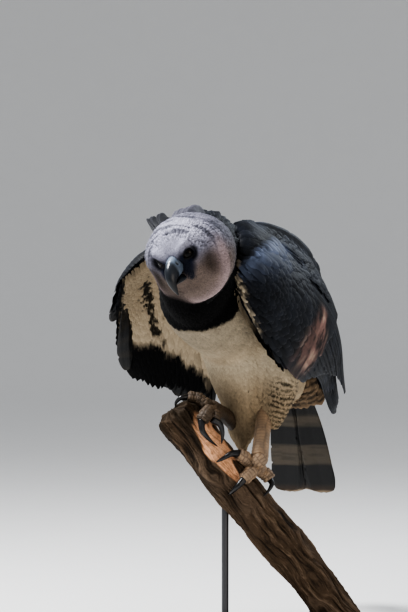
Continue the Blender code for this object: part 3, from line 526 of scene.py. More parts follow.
def ellipse_rings(centres: Array, tangents: Array, sideways: Array, sizes: Array, around: int) -> Array:
    """Rings of ellipses across a line, with half sizes (side, above, below) for each ring."""
    tangents = unit(tangents)
    sideways = np.broadcast_to(np.asarray(sideways, float), centres.shape)
    sideways = unit(sideways - (sideways * tangents).sum(1, keepdims=True) * tangents)
    above = np.cross(tangents, sideways)
    angles = circle(around)
    side, top, bottom = np.asarray(sizes, float).T[:, :, None]
    across = side * np.cos(angles)
    along = np.where(np.sin(angles) > 0, top, bottom) * np.sin(angles)
    return centres[:, None] + across[..., None] * sideways[:, None] + along[..., None] * above[:, None]


# The body's form: every part is a distance to its surface, and the parts are blended into one


@dataclass(frozen=True)
class Spine:
    """A body tube in the bird's frame: rows of place, centre (forward, left, up), side, above, below."""

    rows: tuple[Numbers, ...]

    def table(self) -> tuple[Array, Array, Array, Array]:
        """Distance along the straight axis, centres, half sizes and the three axes, read at 80 places."""
        values = hermite(self.rows, np.linspace(0, 1, 80))
        centres, sizes = values[:, :3], values[:, 3:]
        axis = unit(centres[-1] - centres[0])
        side = unit(np.array([0, 1.0, 0]) - axis[1] * axis)
        axes = np.array([axis, side, np.cross(axis, side)])
        return (centres - centres[0]) @ axis, centres, sizes, axes

    def distance(self, points: Array) -> Array:
        """Distance outside the tube: (r - 1) r over the slope of r, where r is 1 on the ellipse."""
        places, centres, sizes, axes = self.table()
        along = (points - centres[0]) @ axes[0]
        centre = np.stack([np.interp(along, places, centres[:, k]) for k in range(3)], axis=-1)
        side, above, below = (np.interp(along, places, sizes[:, k]) for k in range(3))
        away = points - centre
        x, y = away @ axes[1], away @ axes[2]
        tall = np.where(y > 0, above, below)
        r = np.sqrt((x / side) ** 2 + (y / tall) ** 2) + 1e-6
        slope = np.sqrt((x / side**2) ** 2 + (y / tall**2) ** 2) + 1e-3
        beyond = np.maximum(along - places[-1], places[0] - along)
        return np.maximum((r - 1) * r / slope, beyond)

    def rings(self, places: Array, around: int, shrink: float) -> Array:
        """World rings of the tube, moved in by shrink."""
        values = hermite(self.rows, places)
        ahead = hermite(self.rows, np.minimum(places + 0.01, 1))[:, :3]
        behind = hermite(self.rows, np.maximum(places - 0.01, 0))[:, :3]
        centres, run = BIRD.out(values[:, :3]), BIRD.turn(ahead - behind)
        return ellipse_rings(centres, run, BIRD.turn([0, 1.0, 0]), values[:, 3:] - shrink, around)


TORSO = Spine(
    (
        (0.00, -0.262, 0.006, -0.030, 0.020, 0.018, 0.022),
        (0.10, -0.232, 0.004, -0.020, 0.041, 0.037, 0.041),
        (0.25, -0.175, 0.002, -0.010, 0.060, 0.066, 0.062),
        (0.42, -0.100, 0.000, -0.002, 0.078, 0.094, 0.088),
        (0.60, -0.015, 0.000, 0.000, 0.088, 0.108, 0.106),
        (0.75, 0.060, 0.000, -0.012, 0.090, 0.110, 0.113),
        (0.88, 0.118, 0.002, -0.028, 0.086, 0.099, 0.102),
        (0.96, 0.152, 0.004, -0.036, 0.074, 0.082, 0.084),
        (1.00, 0.170, 0.006, -0.040, 0.052, 0.055, 0.056),
    )
)
NECK = Spine(
    (
        (0.00, 0.110, 0.000, -0.030, 0.072, 0.084, 0.084),
        (0.35, 0.168, 0.010, -0.044, 0.064, 0.106, 0.089),
        (0.65, 0.220, 0.024, -0.056, 0.062, 0.088, 0.081),
        (1.00, 0.266, 0.040, -0.068, 0.052, 0.054, 0.056),
    )
)


@dataclass(frozen=True)
class Skull:
    """The head's form: an ellipsoid of five radii with bumps, and the rim and dish of the facial disc."""

    radii: Numbers = (0.046, 0.080, 0.0735, 0.067, 0.0685)  # forward, back, side, up, down
    bumps: tuple = (
        ((0.88, 0.34, 0.36), 0.17, 0.0050),
        ((0.72, 0.50, 0.47), 0.15, 0.0085),
        ((0.50, 0.74, 0.50), 0.20, 0.0030),
        ((0.74, 0.64, 0.24), 0.20, -0.0060),
        ((0.93, 0.36, 0.02), 0.15, -0.0040),
        ((0.72, 0.60, -0.40), 0.30, 0.0030),
        ((0.50, 0.82, 0.22), 0.15, 0.0035),
        ((0.24, 0.93, -0.14), 0.27, -0.0060),
    )
    eye_radius: float = 0.0115
    eye_place: Triple = (0.0318, 0.0235, 0.0125)

    def radius(self, directions: Array) -> Array:
        """Distance from the head's centre to its surface in each direction."""
        x, y, z = np.moveaxis(unit(directions), -1, 0)
        front, back, side, top, bottom = self.radii
        length = np.sqrt(
            (x / np.where(x > 0, front, back)) ** 2 + (y / side) ** 2 + (z / np.where(z > 0, top, bottom)) ** 2
        )
        radius = 1 / length
        for centre, spread, height in self.bumps:
            for hand in (1, -1):
                towards = unit(np.array(centre) * (1, hand, 1))
                angle = np.arccos(np.clip(x * towards[0] + y * towards[1] + z * towards[2], -1, 1))
                radius = radius + height * np.exp(-((angle / spread) ** 2))
        off_axis = np.degrees(np.arccos(np.clip(x, -1, 1)))
        low = np.clip(0.75 - z, 0, 1)
        return radius + low * (0.0060 * bell(off_axis, 80, 10) - 0.0040 * bell(off_axis, 52, 13))

    def distance(self, points: Array) -> Array:
        """Distance outside the head of world points."""
        local = HEAD.into(points)
        return np.linalg.norm(local, axis=-1) - self.radius(local)


SKULL = Skull()


@dataclass(frozen=True)
class Thigh:
    """A feathered thigh: rows of place, world centre, and half sizes (side, front)."""

    name: str
    rows: tuple[Numbers, ...]
    ahead: tuple[float, float] = (0.05, -1.0)

    def distance(self, points: Array) -> Array:
        """Distance outside the slanted ellipse at each height, the same way as a spine's."""
        values = hermite(self.rows, np.linspace(0, 1, 60))[::-1]
        height = points[..., 2]
        centre = [np.interp(height, values[:, 2], values[:, k]) for k in (0, 1)]
        side, front = (np.interp(height, values[:, 2], values[:, k]) for k in (3, 4))
        left = np.array(BIRD.axes[1][:2])
        turn = np.linalg.inv(np.array([left, unit(self.ahead)]).T)
        away = np.stack([points[..., 0] - centre[0], points[..., 1] - centre[1]], axis=-1) @ turn.T
        r = np.sqrt((away[..., 0] / side) ** 2 + (away[..., 1] / front) ** 2) + 1e-6
        slope = np.sqrt((away[..., 0] / side**2) ** 2 + (away[..., 1] / front**2) ** 2) + 1e-3
        beyond = np.maximum(height - values[-1, 2], values[0, 2] - height)
        return np.maximum((r - 1) * r / slope, beyond)

    def rings(self, places: Array, around: int, shrink: float) -> Array:
        """World rings down the thigh, moved in by shrink."""
        values = hermite(self.rows, places)
        angles = circle(around)
        left, ahead = np.array(BIRD.axes[1]), unit(np.array([*self.ahead, 0.0]))
        side = (values[:, 3:4] - shrink) * np.cos(angles)
        front = (values[:, 4:5] - shrink) * np.sin(angles)
        return values[:, None, :3] + side[..., None] * left + front[..., None] * ahead


THIGHS = {
    "left": Thigh(
        "thigh_left",
        (
            (0.00, 0.016, -0.020, 0.540, 0.050, 0.052),
            (0.30, 0.034, -0.006, 0.492, 0.048, 0.050),
            (0.65, 0.044, 0.004, 0.450, 0.038, 0.042),
            (0.84, 0.038, 0.004, 0.420, 0.030, 0.032),
            (0.94, 0.034, 0.003, 0.401, 0.023, 0.025),
            (1.00, 0.032, 0.002, 0.389, 0.016, 0.018),
        ),
    ),
    "right": Thigh(
        "thigh_right",
        (
            (0.00, -0.040, -0.020, 0.540, 0.050, 0.052),
            (0.35, -0.0300, 0.006, 0.468, 0.0435, 0.046),
            (0.60, -0.0215, 0.026, 0.428, 0.0330, 0.036),
            (0.78, -0.0175, 0.034, 0.396, 0.0270, 0.028),
            (0.92, -0.0155, 0.037, 0.370, 0.0205, 0.021),
            (1.00, -0.0145, 0.038, 0.350, 0.0075, 0.008),
        ),
    ),
}


def blend_min(first: Array, second: Array, reach: float) -> Array:
    """The lower of two distances, rounded where they differ by less than reach."""
    gap = np.maximum(reach - np.abs(first - second), 0)
    return np.minimum(first, second) - gap * gap / (4 * reach)


@dataclass(frozen=True)
class Body:
    """The whole flesh form as one smooth distance."""

    neck_reach: float = 0.022
    thigh_reach: float = 0.030
    head_reach: float = 0.006

    def parts(self, points: Array) -> dict[str, Array]:
        """Distance to each part by itself."""
        local = BIRD.into(points)
        return {
            "torso": TORSO.distance(local),
            "neck": NECK.distance(local),
            "head": SKULL.distance(points),
            "left": THIGHS["left"].distance(points),
            "right": THIGHS["right"].distance(points),
        }

    def distance(self, points: Array) -> Array:
        """Distance to the blended surface."""
        part = self.parts(points)
        total = blend_min(part["torso"], part["neck"], self.neck_reach)
        for side in ("left", "right"):
            total = blend_min(total, part[side], self.thigh_reach)
        return blend_min(total, part["head"], self.head_reach)

    def slope(self, points: Array, base: Array) -> Array:
        """The distance's slope by small steps along each axis."""
        step = 2e-4
        return np.stack([(self.distance(points + step * np.eye(3)[k]) - base) / step for k in range(3)], axis=-1)

    def settle(self, points: Array, height: Array | float, rounds: int = 2) -> tuple[Array, Array]:
        """Moves points along the slope until they lie at a height over the surface.

        Args:
            points: world places, one row each.
            height: wanted distance outside the surface.
            rounds: how many Newton steps.

        Returns:
            The moved points and the surface's outward normals there.
        """
        for _ in range(rounds):
            base = self.distance(points)
            slope = self.slope(points, base)
            size = np.maximum((slope**2).sum(-1), 0.2)
            move = np.clip((base - height) / size, -0.03, 0.03)
            points = points - move[..., None] * slope
        return points, unit(slope)


BODY = Body()


# Markings


@dataclass(frozen=True)
class Markings:
    """The bird's colours by place, the same for the skin and for every feather that grows from it."""

    # Painted shade: white is darkened and warmed, so the pale plumage looks as if it were in warm shade.
    white: Numbers = (0.50, 0.425, 0.315)
    cream: Numbers = (0.40, 0.31, 0.205)
    slate: Numbers = (0.0065, 0.0075, 0.0105)
    slate_pale: Numbers = (0.080, 0.098, 0.148)
    black: Numbers = (0.0025, 0.0025, 0.0030)
    ash: Numbers = (0.26, 0.255, 0.315)
    ash_pale: Numbers = (0.57, 0.565, 0.68)
    ash_dark: Numbers = (0.040, 0.041, 0.058)
    fawn: Numbers = (0.185, 0.140, 0.112)
    rust: Numbers = (0.27, 0.150, 0.125)
    # Painted shade: bar_grey is darkened, as the tail lies in the wings' shadow.
    bar_grey: Numbers = (0.080, 0.063, 0.043)

    def body(self, points: Array) -> Array:
        """Colours of the body at world points: a pale belly with painted shade, a black bib, slate above and barred
        legs.
        """
        part = BODY.parts(points)
        f, left, up = np.moveaxis(BIRD.into(points), -1, 0)
        ragged = 0.006 * lattice_noise(points * 90, 3) + 0.004 * lattice_noise(points * 260, 4)
        # Painted shade: the belly turns a darker cream towards its lower rear, and the shade factor darkens it towards
        # the bib, under the head.
        belly = mix(self.white, self.cream, smooth(-f - up, 0.0, 0.16) * 0.8)
        shade = 0.64 + 0.50 * smooth(0.11 - f, 0.0, 0.16) + 0.10 * lattice_noise(points * (60, 60, 30), 5)
        belly = belly * shade[..., None]
        bib_line = 0.126 + 0.020 * bell(left, 0.012, 0.040)
        bib = smooth(f + ragged * 0.7, bib_line - 0.003, bib_line + 0.003)
        colour = mix(belly, self.black, bib)
        back = smooth(up + ragged * 2 + 0.22 * np.maximum(-f - 0.04, 0), 0.012, 0.030)
        sheen = 0.5 + 0.5 * lattice_noise(points * 45, 6)
        mantle = mix(self.slate, self.slate_pale, 0.25 * sheen)
        colour = mix(colour, mantle, np.maximum(back, bib * smooth(up, -0.02, 0.05)))
        legs = np.minimum(part["left"], part["right"])
        on_leg = smooth(np.minimum(part["torso"], part["neck"]) - legs, -0.01, 0.012)
        colour = mix(colour, self.leg(points), on_leg)
        trunk = np.minimum(np.minimum(part["torso"], part["neck"]), legs)
        return mix(colour, self.head(points), smooth(trunk - part["head"], -0.003, 0.003))

    def leg(self, points: Array) -> Array:
        """Colours of the thighs: cream with wavy thin black bars, strongest low on the left one's outer side."""
        x, _, z = np.moveaxis(points, -1, 0)
        wave = 0.004 * lattice_noise(points * 55, 7) + 0.0015 * lattice_noise(points * 170, 8)
        phase = (z + wave + 0.25 * (x - 0.04)) / 0.0085
        bars = smooth(np.sin(2 * math.pi * phase), 0.25, 0.60)
        place = smooth(x, 0.018, 0.040) * smooth(0.492 - z, 0.0, 0.03)
        place = place * (0.85 + 0.35 * lattice_noise(points * 80, 9)) + 0.10 * smooth(0.47 - z, 0, 0.03)
        spots = smooth(lattice_noise(points * 190, 10), 0.80, 0.88)
        spots = spots * smooth(0.50 - z, 0, 0.02) * smooth(z, 0.41, 0.44)
        ground = mix(self.white, self.cream, smooth(0.50 - z, -0.02, 0.08))
        return mix(ground, self.black, np.clip(bars * place * 0.9 + spots * 0.8, 0, 0.93))

    def head(self, points: Array) -> Array:
        """Colours of the head: lavender grey, paler on the brow as painted light and on the disc's rim, with painted
        shade low on the face, in the cheek hollows and on its right side, dark before the eyes.
        """
        local = HEAD.into(points)
        x, y, z = np.moveaxis(unit(local), -1, 0)
        tone = 0.5 + 0.5 * lattice_noise(points * 70, 11)
        off_axis = np.degrees(np.arccos(np.clip(x, -1, 1)))
        # Painted light: paler on the top and front of the head, over the brow.
        brow = smooth(z, 0.15, 0.70) * smooth(x, -0.1, 0.55) * (0.35 + 0.65 * tone)
        colour = mix(self.ash, self.ash_pale, brow)
        # Painted shade: warmer and darker low on the face.
        colour = mix(colour, self.fawn, smooth(-z, -0.25, 0.35) * 0.9)
        # Painted shade in the hollow behind each eye.
        away = local - np.array([0.025, 0.057, -0.014]) * np.where(y < 0, -1.0, 1.0)[..., None] ** np.array([0, 1, 0])
        hollow_shade = 1 - smooth(np.linalg.norm(away * (1, 1, 0.8), axis=-1), 0.006, 0.026)
        colour = mix(colour, np.array(self.fawn) * 0.34, hollow_shade * 0.85)
        # Painted shade under the chin.
        chin = smooth(-z, 0.35, 0.9) * smooth(70 - off_axis, 0, 25)
        colour = mix(colour, np.array(self.fawn) * 0.65, chin * 0.7)
        rim = bell(off_axis, 82, 9) * smooth(0.45 - z, 0, 0.5)
        colour = mix(colour, np.array(self.ash_pale) * (0.84, 0.66, 0.56), rim * 0.7)
        # Painted shade: the head's right side, away from the key light, is darker.
        colour = colour * (1 - 0.36 * smooth(-y, 0.15, 0.80))[..., None]
        dusk = smooth(-x, 0.0, 0.55)
        colour = mix(colour, self.ash_dark, dusk * (0.45 + 0.4 * tone))
        reach = np.hypot(y, z) + 1e-6
        round_face = np.stack([np.radians(off_axis) * 22, y / reach * 2.3, z / reach * 2.3], -1)
        arcs = lattice_noise(round_face, 12) + 0.25 * lattice_noise(round_face * (2.3, 1.5, 1.5), 13)
        strength = 0.08 + 0.66 * smooth(z - 0.4 * x, -0.35, 0.35) * smooth(off_axis, 36, 66)
        colour = mix(colour, self.ash_dark, smooth(arcs, 0.08, 0.42) * strength)
        for hand in (1, -1):
            eye = np.array(SKULL.eye_place) * (1, hand, 1)
            gap = np.linalg.norm((local - eye - np.array([0.004, 0.004 * hand, 0.0])) * (1, 1, 1.1), axis=-1)
            above = smooth(local[..., 2] - eye[2] - 0.35 * (np.abs(local[..., 1]) - eye[1] * hand), 0.000, 0.009)
            ring = (1 - smooth(gap, 0.0135, 0.0205)) * (0.95 - 0.72 * above)
            colour = mix(colour, np.array(self.ash_dark) * 0.35, ring)
            lore = np.linalg.norm((local - np.array([0.043, 0.021 * hand, -0.003])) * (1, 1, 0.72), axis=-1)
            bluish = np.array(self.ash_dark) * (0.50, 0.60, 0.80)
            colour = mix(colour, bluish, (1 - smooth(lore, 0.008, 0.018)) * 0.92)
        return colour


MARKS = Markings()


# Feathers. An outline is rows of (place along the feather, share of its half width)

SOFT_VANE = ((0.0, 0.45), (0.35, 0.88), (0.66, 1.0), (0.88, 0.74), (1.0, 0.22))
FULL_VANE = (
    (0.0, 0.40), (0.18, 0.70), (0.38, 0.90), (0.60, 1.0), (0.78, 0.97), (0.91, 0.76), (0.98, 0.42), (1.0, 0.16)
)
LONG_VANE = (
    (0.0, 0.30), (0.10, 0.55), (0.30, 0.85), (0.68, 1.0), (0.86, 0.94), (0.95, 0.74), (0.99, 0.42), (1.0, 0.18)
)


@dataclass
class Vanes:
    """Many feathers at once. Each is a grid of stations along it by columns across it.

    Attributes:
        points: world places, of shape (feathers, stations, columns, 3).
        tint: colours of the same shape.
        vane: each point's own place across and along its feather, in centimetres.
        bake: each feather's place on the unwrap of the skin, from 0 to 1.
        normals: outward directions, kept for closed vanes.
        under: colours of the lower side, for closed vanes.
        thick: thickness of closed vanes at the shaft, or nothing for single sheets.
    """

    points: Array
    tint: Array
    vane: Array
    bake: Array
    normals: Array | None = None
    under: Array | None = None
    thick: float = 0.0

    def closed(self) -> tuple[Array, Array, Array]:
        """Points, tint and vane places as closed rings: the upper side out and the lower side back."""
        stations, columns = self.points.shape[1:3]
        across = np.linspace(-1, 1, columns)
        along = np.linspace(0, 1, stations)[:, None]
        half = 0.5 * self.thick * (1 - 0.5 * np.abs(across)) * (1 - 0.5 * along**4)
        offset = self.normals * half[None, :, :, None]
        upper, lower = self.points + offset, (self.points - offset)[:, :, ::-1]
        rings = np.concatenate([upper, lower], axis=2)
        tint = np.concatenate([self.tint, self.under[:, :, ::-1]], axis=2)
        vane = np.concatenate([self.vane, self.vane[:, :, ::-1]], axis=2)
        return rings, tint, vane

    def build(self, name: str, finish: Finish) -> None:
        """One mesh of all the feathers, each a patch on the bake map at its root's place."""
        count, stations, columns = self.points.shape[:3]
        if self.thick:
            rings, tint, vane = self.closed()
            around = 2 * columns
            pattern = grid_quads(stations, around, True)
            low = np.arange(columns - 1)
            cap = np.stack([low, low + 1, around - 2 - low, around - 1 - low], axis=1)
            end = (cap + (stations - 1) * around)[:, ::-1]
            pattern = np.concatenate([pattern[:, ::-1], cap, end])
            place_u = np.concatenate([np.linspace(0, 1, columns), np.linspace(1, 0, columns)])
        else:
            rings, tint, vane, around = self.points, self.tint, self.vane, columns
            pattern = grid_quads(stations, columns, False)
            place_u = np.linspace(0, 1, columns)
        size = stations * around
        quads = (pattern[None] + (np.arange(count) * size)[:, None, None]).reshape(-1, 4)
        place_v = np.linspace(0, 1, stations)
        patch = np.stack(np.broadcast_arrays(place_u[None, :], place_v[:, None]), axis=-1) * BAKE_PATCH
        bake = (self.bake[:, None, None] * (1 - BAKE_PATCH) + patch[None]).reshape(-1, 2)
        maps = {BAKE_MAP: bake, VANE_MAP: vane.reshape(-1, 2)}
        make_piece(name, rings.reshape(-1, 3), quads, finish, tint.reshape(-1, 3), maps)
        LOG.info("%s: %d feathers, %d triangles", name, count, 2 * len(quads))


def join_vanes(batches: list[Vanes]) -> Vanes:
    """Batches of closed vanes on the same grid as one."""
    keys = ("points", "tint", "vane", "bake", "normals", "under")
    return Vanes(*(np.concatenate([getattr(batch, key) for batch in batches]) for key in keys), batches[0].thick)


def split_edges(
    rng: np.random.Generator, count: int, places: Array, across: Array, times: int, span: tuple[float, float],
    depth: float, size: float,
) -> Array:
    """Widths of vanes with small splits: 1 less a bell at random places along one edge or the other.

    Args:
        rng: gives the places and the edges.
        count: how many feathers.
        places: stations along a feather.
        across: columns from -1 to 1.
        times: how many splits each has.
        span: the lowest and highest place of a split.
        depth: how deep it is, as a share of the half width.
        size: how long it is, as a share of the feather.

    Returns:
        A share of the width for each feather, station and column.
    """
    width = np.ones((count, len(places), len(across)))
    for _ in range(times):
        where = rng.uniform(*span, (count, 1, 1))
        edge = rng.choice([-1.0, 1.0], (count, 1, 1))
        width -= depth * bell(places[None, :, None] - where, 0, size) * smooth(across * edge, 0.5, 1.0)
    return width


@dataclass(frozen=True)
class Tract:
    """How the small feathers of one part of the body are laid.

    Attributes:
        spacing: distance between neighbouring roots.
        length: of a feather.
        width: of a feather.
        sunk: how far its root lies under the surface, and raised how far its tip stands over it.
        camber: how far its edges bend down, as a share of its width.
        ragged: how uneven its edge is, as a share of its width.
        fringe: how much paler (or, below 0, darker) its edge is.
        rooted: how much darker it is towards its root, under the feather before it: its own darker base, and painted
            shade.
        uneven: how much its shade differs from the next one's.
        shape: its outline.
        columns: points across it.
        seed: of its random draws.
    """

    spacing: float
    length: float
    width: float
    sunk: float = 0.004
    raised: float = 0.001
    camber: float = 0.10
    ragged: float = 0.10
    fringe: float = 0.0
    rooted: float = 0.25
    uneven: float = 0.12
    shape: tuple = SOFT_VANE
    columns: int = 3
    seed: int = 1

    def grid(self) -> tuple[Array, Array, Array]:
        """Stations along, half width at each, and columns from -1 to 1."""
        shape = np.array(self.shape)
        return shape[:, 0], shape[:, 1], np.linspace(-1, 1, self.columns)

    def lay(self, roots: Array, flow: Array, bake: Array, scale: Array | float = 1.0, tint: object = None) -> Vanes:
        """Feathers over the body: each follows the blended surface from its root, rising from under it.

        Args:
            roots: world places.
            flow: the direction that each one lies in.
            bake: root places on the unwrap.
            scale: size of each feather against the tract's.
            tint: what gives colours at world points, or nothing for the body's own markings.

        Returns:
            The feathers.
        """
        rng = np.random.default_rng(self.seed)
        along = self.grid()[0]
        count = len(roots)
        scale = np.broadcast_to(scale, count) * rng.uniform(0.85, 1.15, count)
        length, width = self.length * scale, self.width * scale
        point, normal = BODY.settle(roots, -self.sunk * scale)
        turn = rng.normal(0, 0.10, count)
        direction = unit(flow - (flow * normal).sum(-1, keepdims=True) * normal)
        direction = unit(direction + np.cross(normal, direction) * turn[:, None])
        lines, normals = [point], [normal]
        step = np.diff(along)
        lift = self.raised * rng.uniform(0.3, 1.5, count) * scale
        for k in range(1, len(along)):
            height = -self.sunk * scale * (1 - along[k]) ** 1.6 + lift * along[k]
            ahead = point + direction * (step[k - 1] * length)[:, None]
            ahead, normal = BODY.settle(ahead, height, 1)
            direction = unit(ahead - point)
            point = ahead
            lines.append(point)
            normals.append(normal)
        line, normal = np.stack(lines, axis=1), np.stack(normals, axis=1)
        return self.spread(line, normal, width, bake, rng, tint or MARKS.body)

    def spread(self, line: Array, normal: Array, width: Array, bake: Array, rng: object, tint: object) -> Vanes:
        """Vanes across lines: half width x column to the side, and camber x column squared down."""
        along, half, across = self.grid()
        count = len(line)
        side = unit(np.cross(np.gradient(line, axis=1), normal))
        reach = 0.5 * width[:, None] * half[None]
        uneven = 1 + self.ragged * rng.normal(0, 1, (count, len(along), len(across))) * np.abs(across)
        offset = reach[..., None] * across * uneven
        fall = self.camber * width[:, None, None] * across**2
        back = rng.uniform(0.0, 0.10, (count, 1, 1)) * self.length * (along[:, None] ** 3) * np.abs(across) ** 2
        run = unit(np.gradient(line, axis=1))
        points = (
            line[:, :, None]
            + side[:, :, None] * offset[..., None]
            - normal[:, :, None] * fall[..., None]
            - run[:, :, None] * back[..., None]
        )
        colour = tint(points)
        own = rng.normal(0, self.uneven, (count, 1, 1, 1))
        edge = np.maximum(np.abs(across)[None, :] * 0.6, smooth(along, 0.8, 1.0)[:, None])
        shade = 1 + own + self.fringe * (edge[None, :, :, None] - 0.3)
        # Painted shade: darker towards the root, under the feather before it, along with the feather's own darker base.
        shade = shade * (1 - self.rooted * (1 - smooth(along, 0.40, 0.85)))[None, :, None, None]
        colour = colour * np.clip(shade, 0.2, 3)
        distance = np.concatenate([np.zeros((count, 1)), np.linalg.norm(np.diff(line, axis=1), axis=-1).cumsum(1)], 1)
        vane = np.stack([offset, np.broadcast_to(distance[..., None], offset.shape)], axis=-1) * 100
        normals = np.broadcast_to(normal[:, :, None], points.shape)
        return Vanes(points, colour, vane, bake, normals)


def tube_roots(form: Spine | Thigh, tract: Tract, seed: int) -> tuple[Array, Array, Array]:
    """Staggered roots round a tube, their flow towards its first row (or last for a thigh), and unwrap places."""
    rng = np.random.default_rng(seed)
    fine = np.linspace(0.0, 1.0, 300)
    rings = form.rings(fine, 180, 0.0)
    run = np.linalg.norm(np.diff(rings.mean(axis=1), axis=0), axis=1).cumsum()
    rows = np.interp(np.arange(0, run[-1], tract.spacing), np.concatenate([[0], run]), fine)
    backwards = 1 if isinstance(form, Thigh) else -1
    roots, flows, bakes = [], [], []
    for index, place in enumerate(rows):
        ring, after = form.rings(np.array([place, min(max(place + 0.01 * backwards, 0), 1)]), 360, 0.0)
        steps = np.linalg.norm(np.roll(ring, -1, axis=0) - ring, axis=1)
        arc = np.concatenate([[0], steps.cumsum()])
        count = max(int(arc[-1] / tract.spacing), 5)
        wanted = (np.arange(count) + 0.5 * (index % 2) + rng.uniform(-0.25, 0.25, count)) / count % 1.0
        spot = np.interp(wanted * arc[-1], arc, np.arange(361)) % 360
        low = spot.astype(int)
        share = (spot - low)[:, None]
        pick = lambda r: r[low] * (1 - share) + r[(low + 1) % 360] * share
        jitter = rng.uniform(-0.3, 0.3, (count, 1)) * tract.spacing
        flow = unit(pick(after) - pick(ring) + 1e-9)
        roots.append(pick(ring) + flow * jitter)
        flows.append(flow)
        bakes.append(np.stack([wanted, np.full(count, place)], axis=1))
    return np.concatenate(roots), np.concatenate(flows), np.concatenate(bakes)


@dataclass
class Coat:
    """The small feathers of torso, neck, head and thighs."""

    belly: Tract = Tract(0.0050, 0.024, 0.0078, fringe=0.10, ragged=0.16, uneven=0.04, seed=11)
    mantle: Tract = Tract(
        0.0098, 0.038, 0.0185, sunk=0.006, raised=0.0013, fringe=0.5, ragged=0.06, shape=FULL_VANE, columns=5, seed=12
    )
    nape: Tract = Tract(
        0.0098, 0.040, 0.0150, sunk=0.004, raised=0.0070, fringe=0.4, ragged=0.09, shape=FULL_VANE, columns=9, seed=17
    )
    bib: Tract = Tract(0.0048, 0.022, 0.0076, fringe=0.15, ragged=0.14, uneven=0.06, seed=13)
    thigh: Tract = Tract(0.0042, 0.020, 0.0064, sunk=0.0035, fringe=0.05, ragged=0.16, uneven=0.05, seed=14)
    face: Tract = Tract(
        0.0016, 0.0088, 0.0025, sunk=0.0014, raised=0.0005, fringe=0.3, rooted=0.3, uneven=0.09, seed=15
    )
    crown: Tract = Tract(
        0.0031, 0.0150, 0.0062, sunk=0.0025, raised=0.0012, fringe=0.35, rooted=0.55, ragged=0.09, uneven=0.08,
        shape=FULL_VANE, columns=5, seed=16,
    )

    def build(self) -> None:
        """Lays every tract over the part of its form where it grows."""
        rump = lambda f: 0.020 - 0.22 * np.maximum(-f - 0.04, 0)
        self.cover("belly", TORSO, self.belly, 21, -0.018, lambda f, up: (up < 0.028) & (f < 0.162), DOWN, 0.35)
        self.cover("mantle", TORSO, self.mantle, 22, -0.006, lambda f, up: (up > rump(f)) & (f < 0.150), PLUME)
        self.cover("bib", NECK, self.bib, 23, -0.016, lambda f, up: (up < 0.0) & (f > 0.118), DOWN)
        self.cover("nape", NECK, self.nape, 24, -0.006, lambda f, up: (up > -0.012) & (f > 0.09), PLUME)
        for index, (side, thigh) in enumerate(THIGHS.items()):
            self.cover(f"thigh_{side}", thigh, self.thigh, 25 + index, -0.006, lambda f, up: f < 1.0, DOWN)
        self.build_face()

    def cover(
        self, name: str, form: Spine | Thigh, tract: Tract, seed: int, least: float, grows: object, finish: Finish,
        hang: float = 0.0,
    ) -> None:
        """Feathers over one form.

        Args:
            name: the tract's name.
            form: what they grow on.
            tract: their size and spacing.
            seed: of their places.
            least: how far outside the blended body a root lies at least.
            grows: says whether they grow at (forward, up) places.
            finish: what they are made of.
            hang: how much they hang down as they run back.
        """
        roots, flow, bake = tube_roots(form, tract, seed)
        forward, _, up = np.moveaxis(BIRD.into(roots), -1, 0)
        keep = (BODY.distance(roots) > least) & grows(forward, up)
        if hang:
            flow = unit(flow + np.array([0, 0, -hang]))
        tract.lay(roots[keep], flow[keep], bake[keep]).build("coat_" + name, finish)

    def build_face(self) -> None:
        """The head's feathers on rings round the bill's axis: fine ones on the face, broad rows on the crown."""
        tracts = (("coat_head", self.face, 10.0, DOWN), ("coat_crown", self.crown, 34.0, PLUME))
        for name, tract, first, finish in tracts:
            roots, flows, bakes, scales = self.rings(tract, first)
            local = HEAD.into(roots)
            keep = BODY.distance(roots) > -0.004
            for hand in (1, -1):
                eye = np.array(SKULL.eye_place) * (1, hand, 1)
                keep &= np.linalg.norm(local - eye, axis=1) > SKULL.eye_radius + 0.0026
            cere = np.hypot(local[:, 1] / 0.0112, (local[:, 2] + 0.001) / 0.0165) < 1
            keep &= ~((local[:, 0] > 0.034) & cere)
            broad = self.broad(roots) > np.random.default_rng(tract.seed).uniform(0.15, 0.85, len(roots))
            keep &= broad if tract is self.crown else ~broad
            tract.lay(roots[keep], flows[keep], bakes[keep], scales[keep]).build(name, finish)

    def broad(self, points: Array) -> Array:
        """1 on the crown, the nape and the disc's rim, where the feathers are broad, and 0 on the face."""
        x, _, z = np.moveaxis(unit(HEAD.into(points)), -1, 0)
        off_axis = np.degrees(np.arccos(np.clip(x, -1, 1)))
        crown = smooth(off_axis, 34, 62) * smooth(z, -0.10, 0.40)
        return np.maximum(crown, smooth(off_axis, 80, 88))

    def rings(self, tract: Tract, first: float) -> tuple[Array, Array, Array, Array]:
        """Roots, flow, unwrap places and scales on rings from an angle (degrees) off the bill's axis to the nape."""
        rng = np.random.default_rng(31)
        roots, flows, bakes, scales = [], [], [], []
        angle, index = math.radians(first), 0
        loose = 0.3 if tract is self.face else 0.10
        while angle < math.radians(166.0):
            share = angle / math.pi
            spacing = tract.spacing * (0.78 + 0.5 * share)
            count = int(2 * math.pi * 0.072 * math.sin(angle) / spacing)
            turn = (np.arange(count) + 0.5 * (index % 2) + rng.uniform(-loose, loose, count)) / count
            tilt = angle + rng.uniform(-loose, loose, count) * spacing / 0.072
            spots = [self.place(tilt + extra, turn * 2 * math.pi) for extra in (0.0, 0.02)]
            roots.append(spots[0])
            flows.append(unit(spots[1] - spots[0]))
            bakes.append(np.stack([turn % 1.0, np.full(count, share)], axis=1))
            scales.append(np.full(count, 0.62 + 1.05 * share))
            angle += spacing / 0.070
            index += 1
        return tuple(np.concatenate(rows) for rows in (roots, flows, bakes, scales))

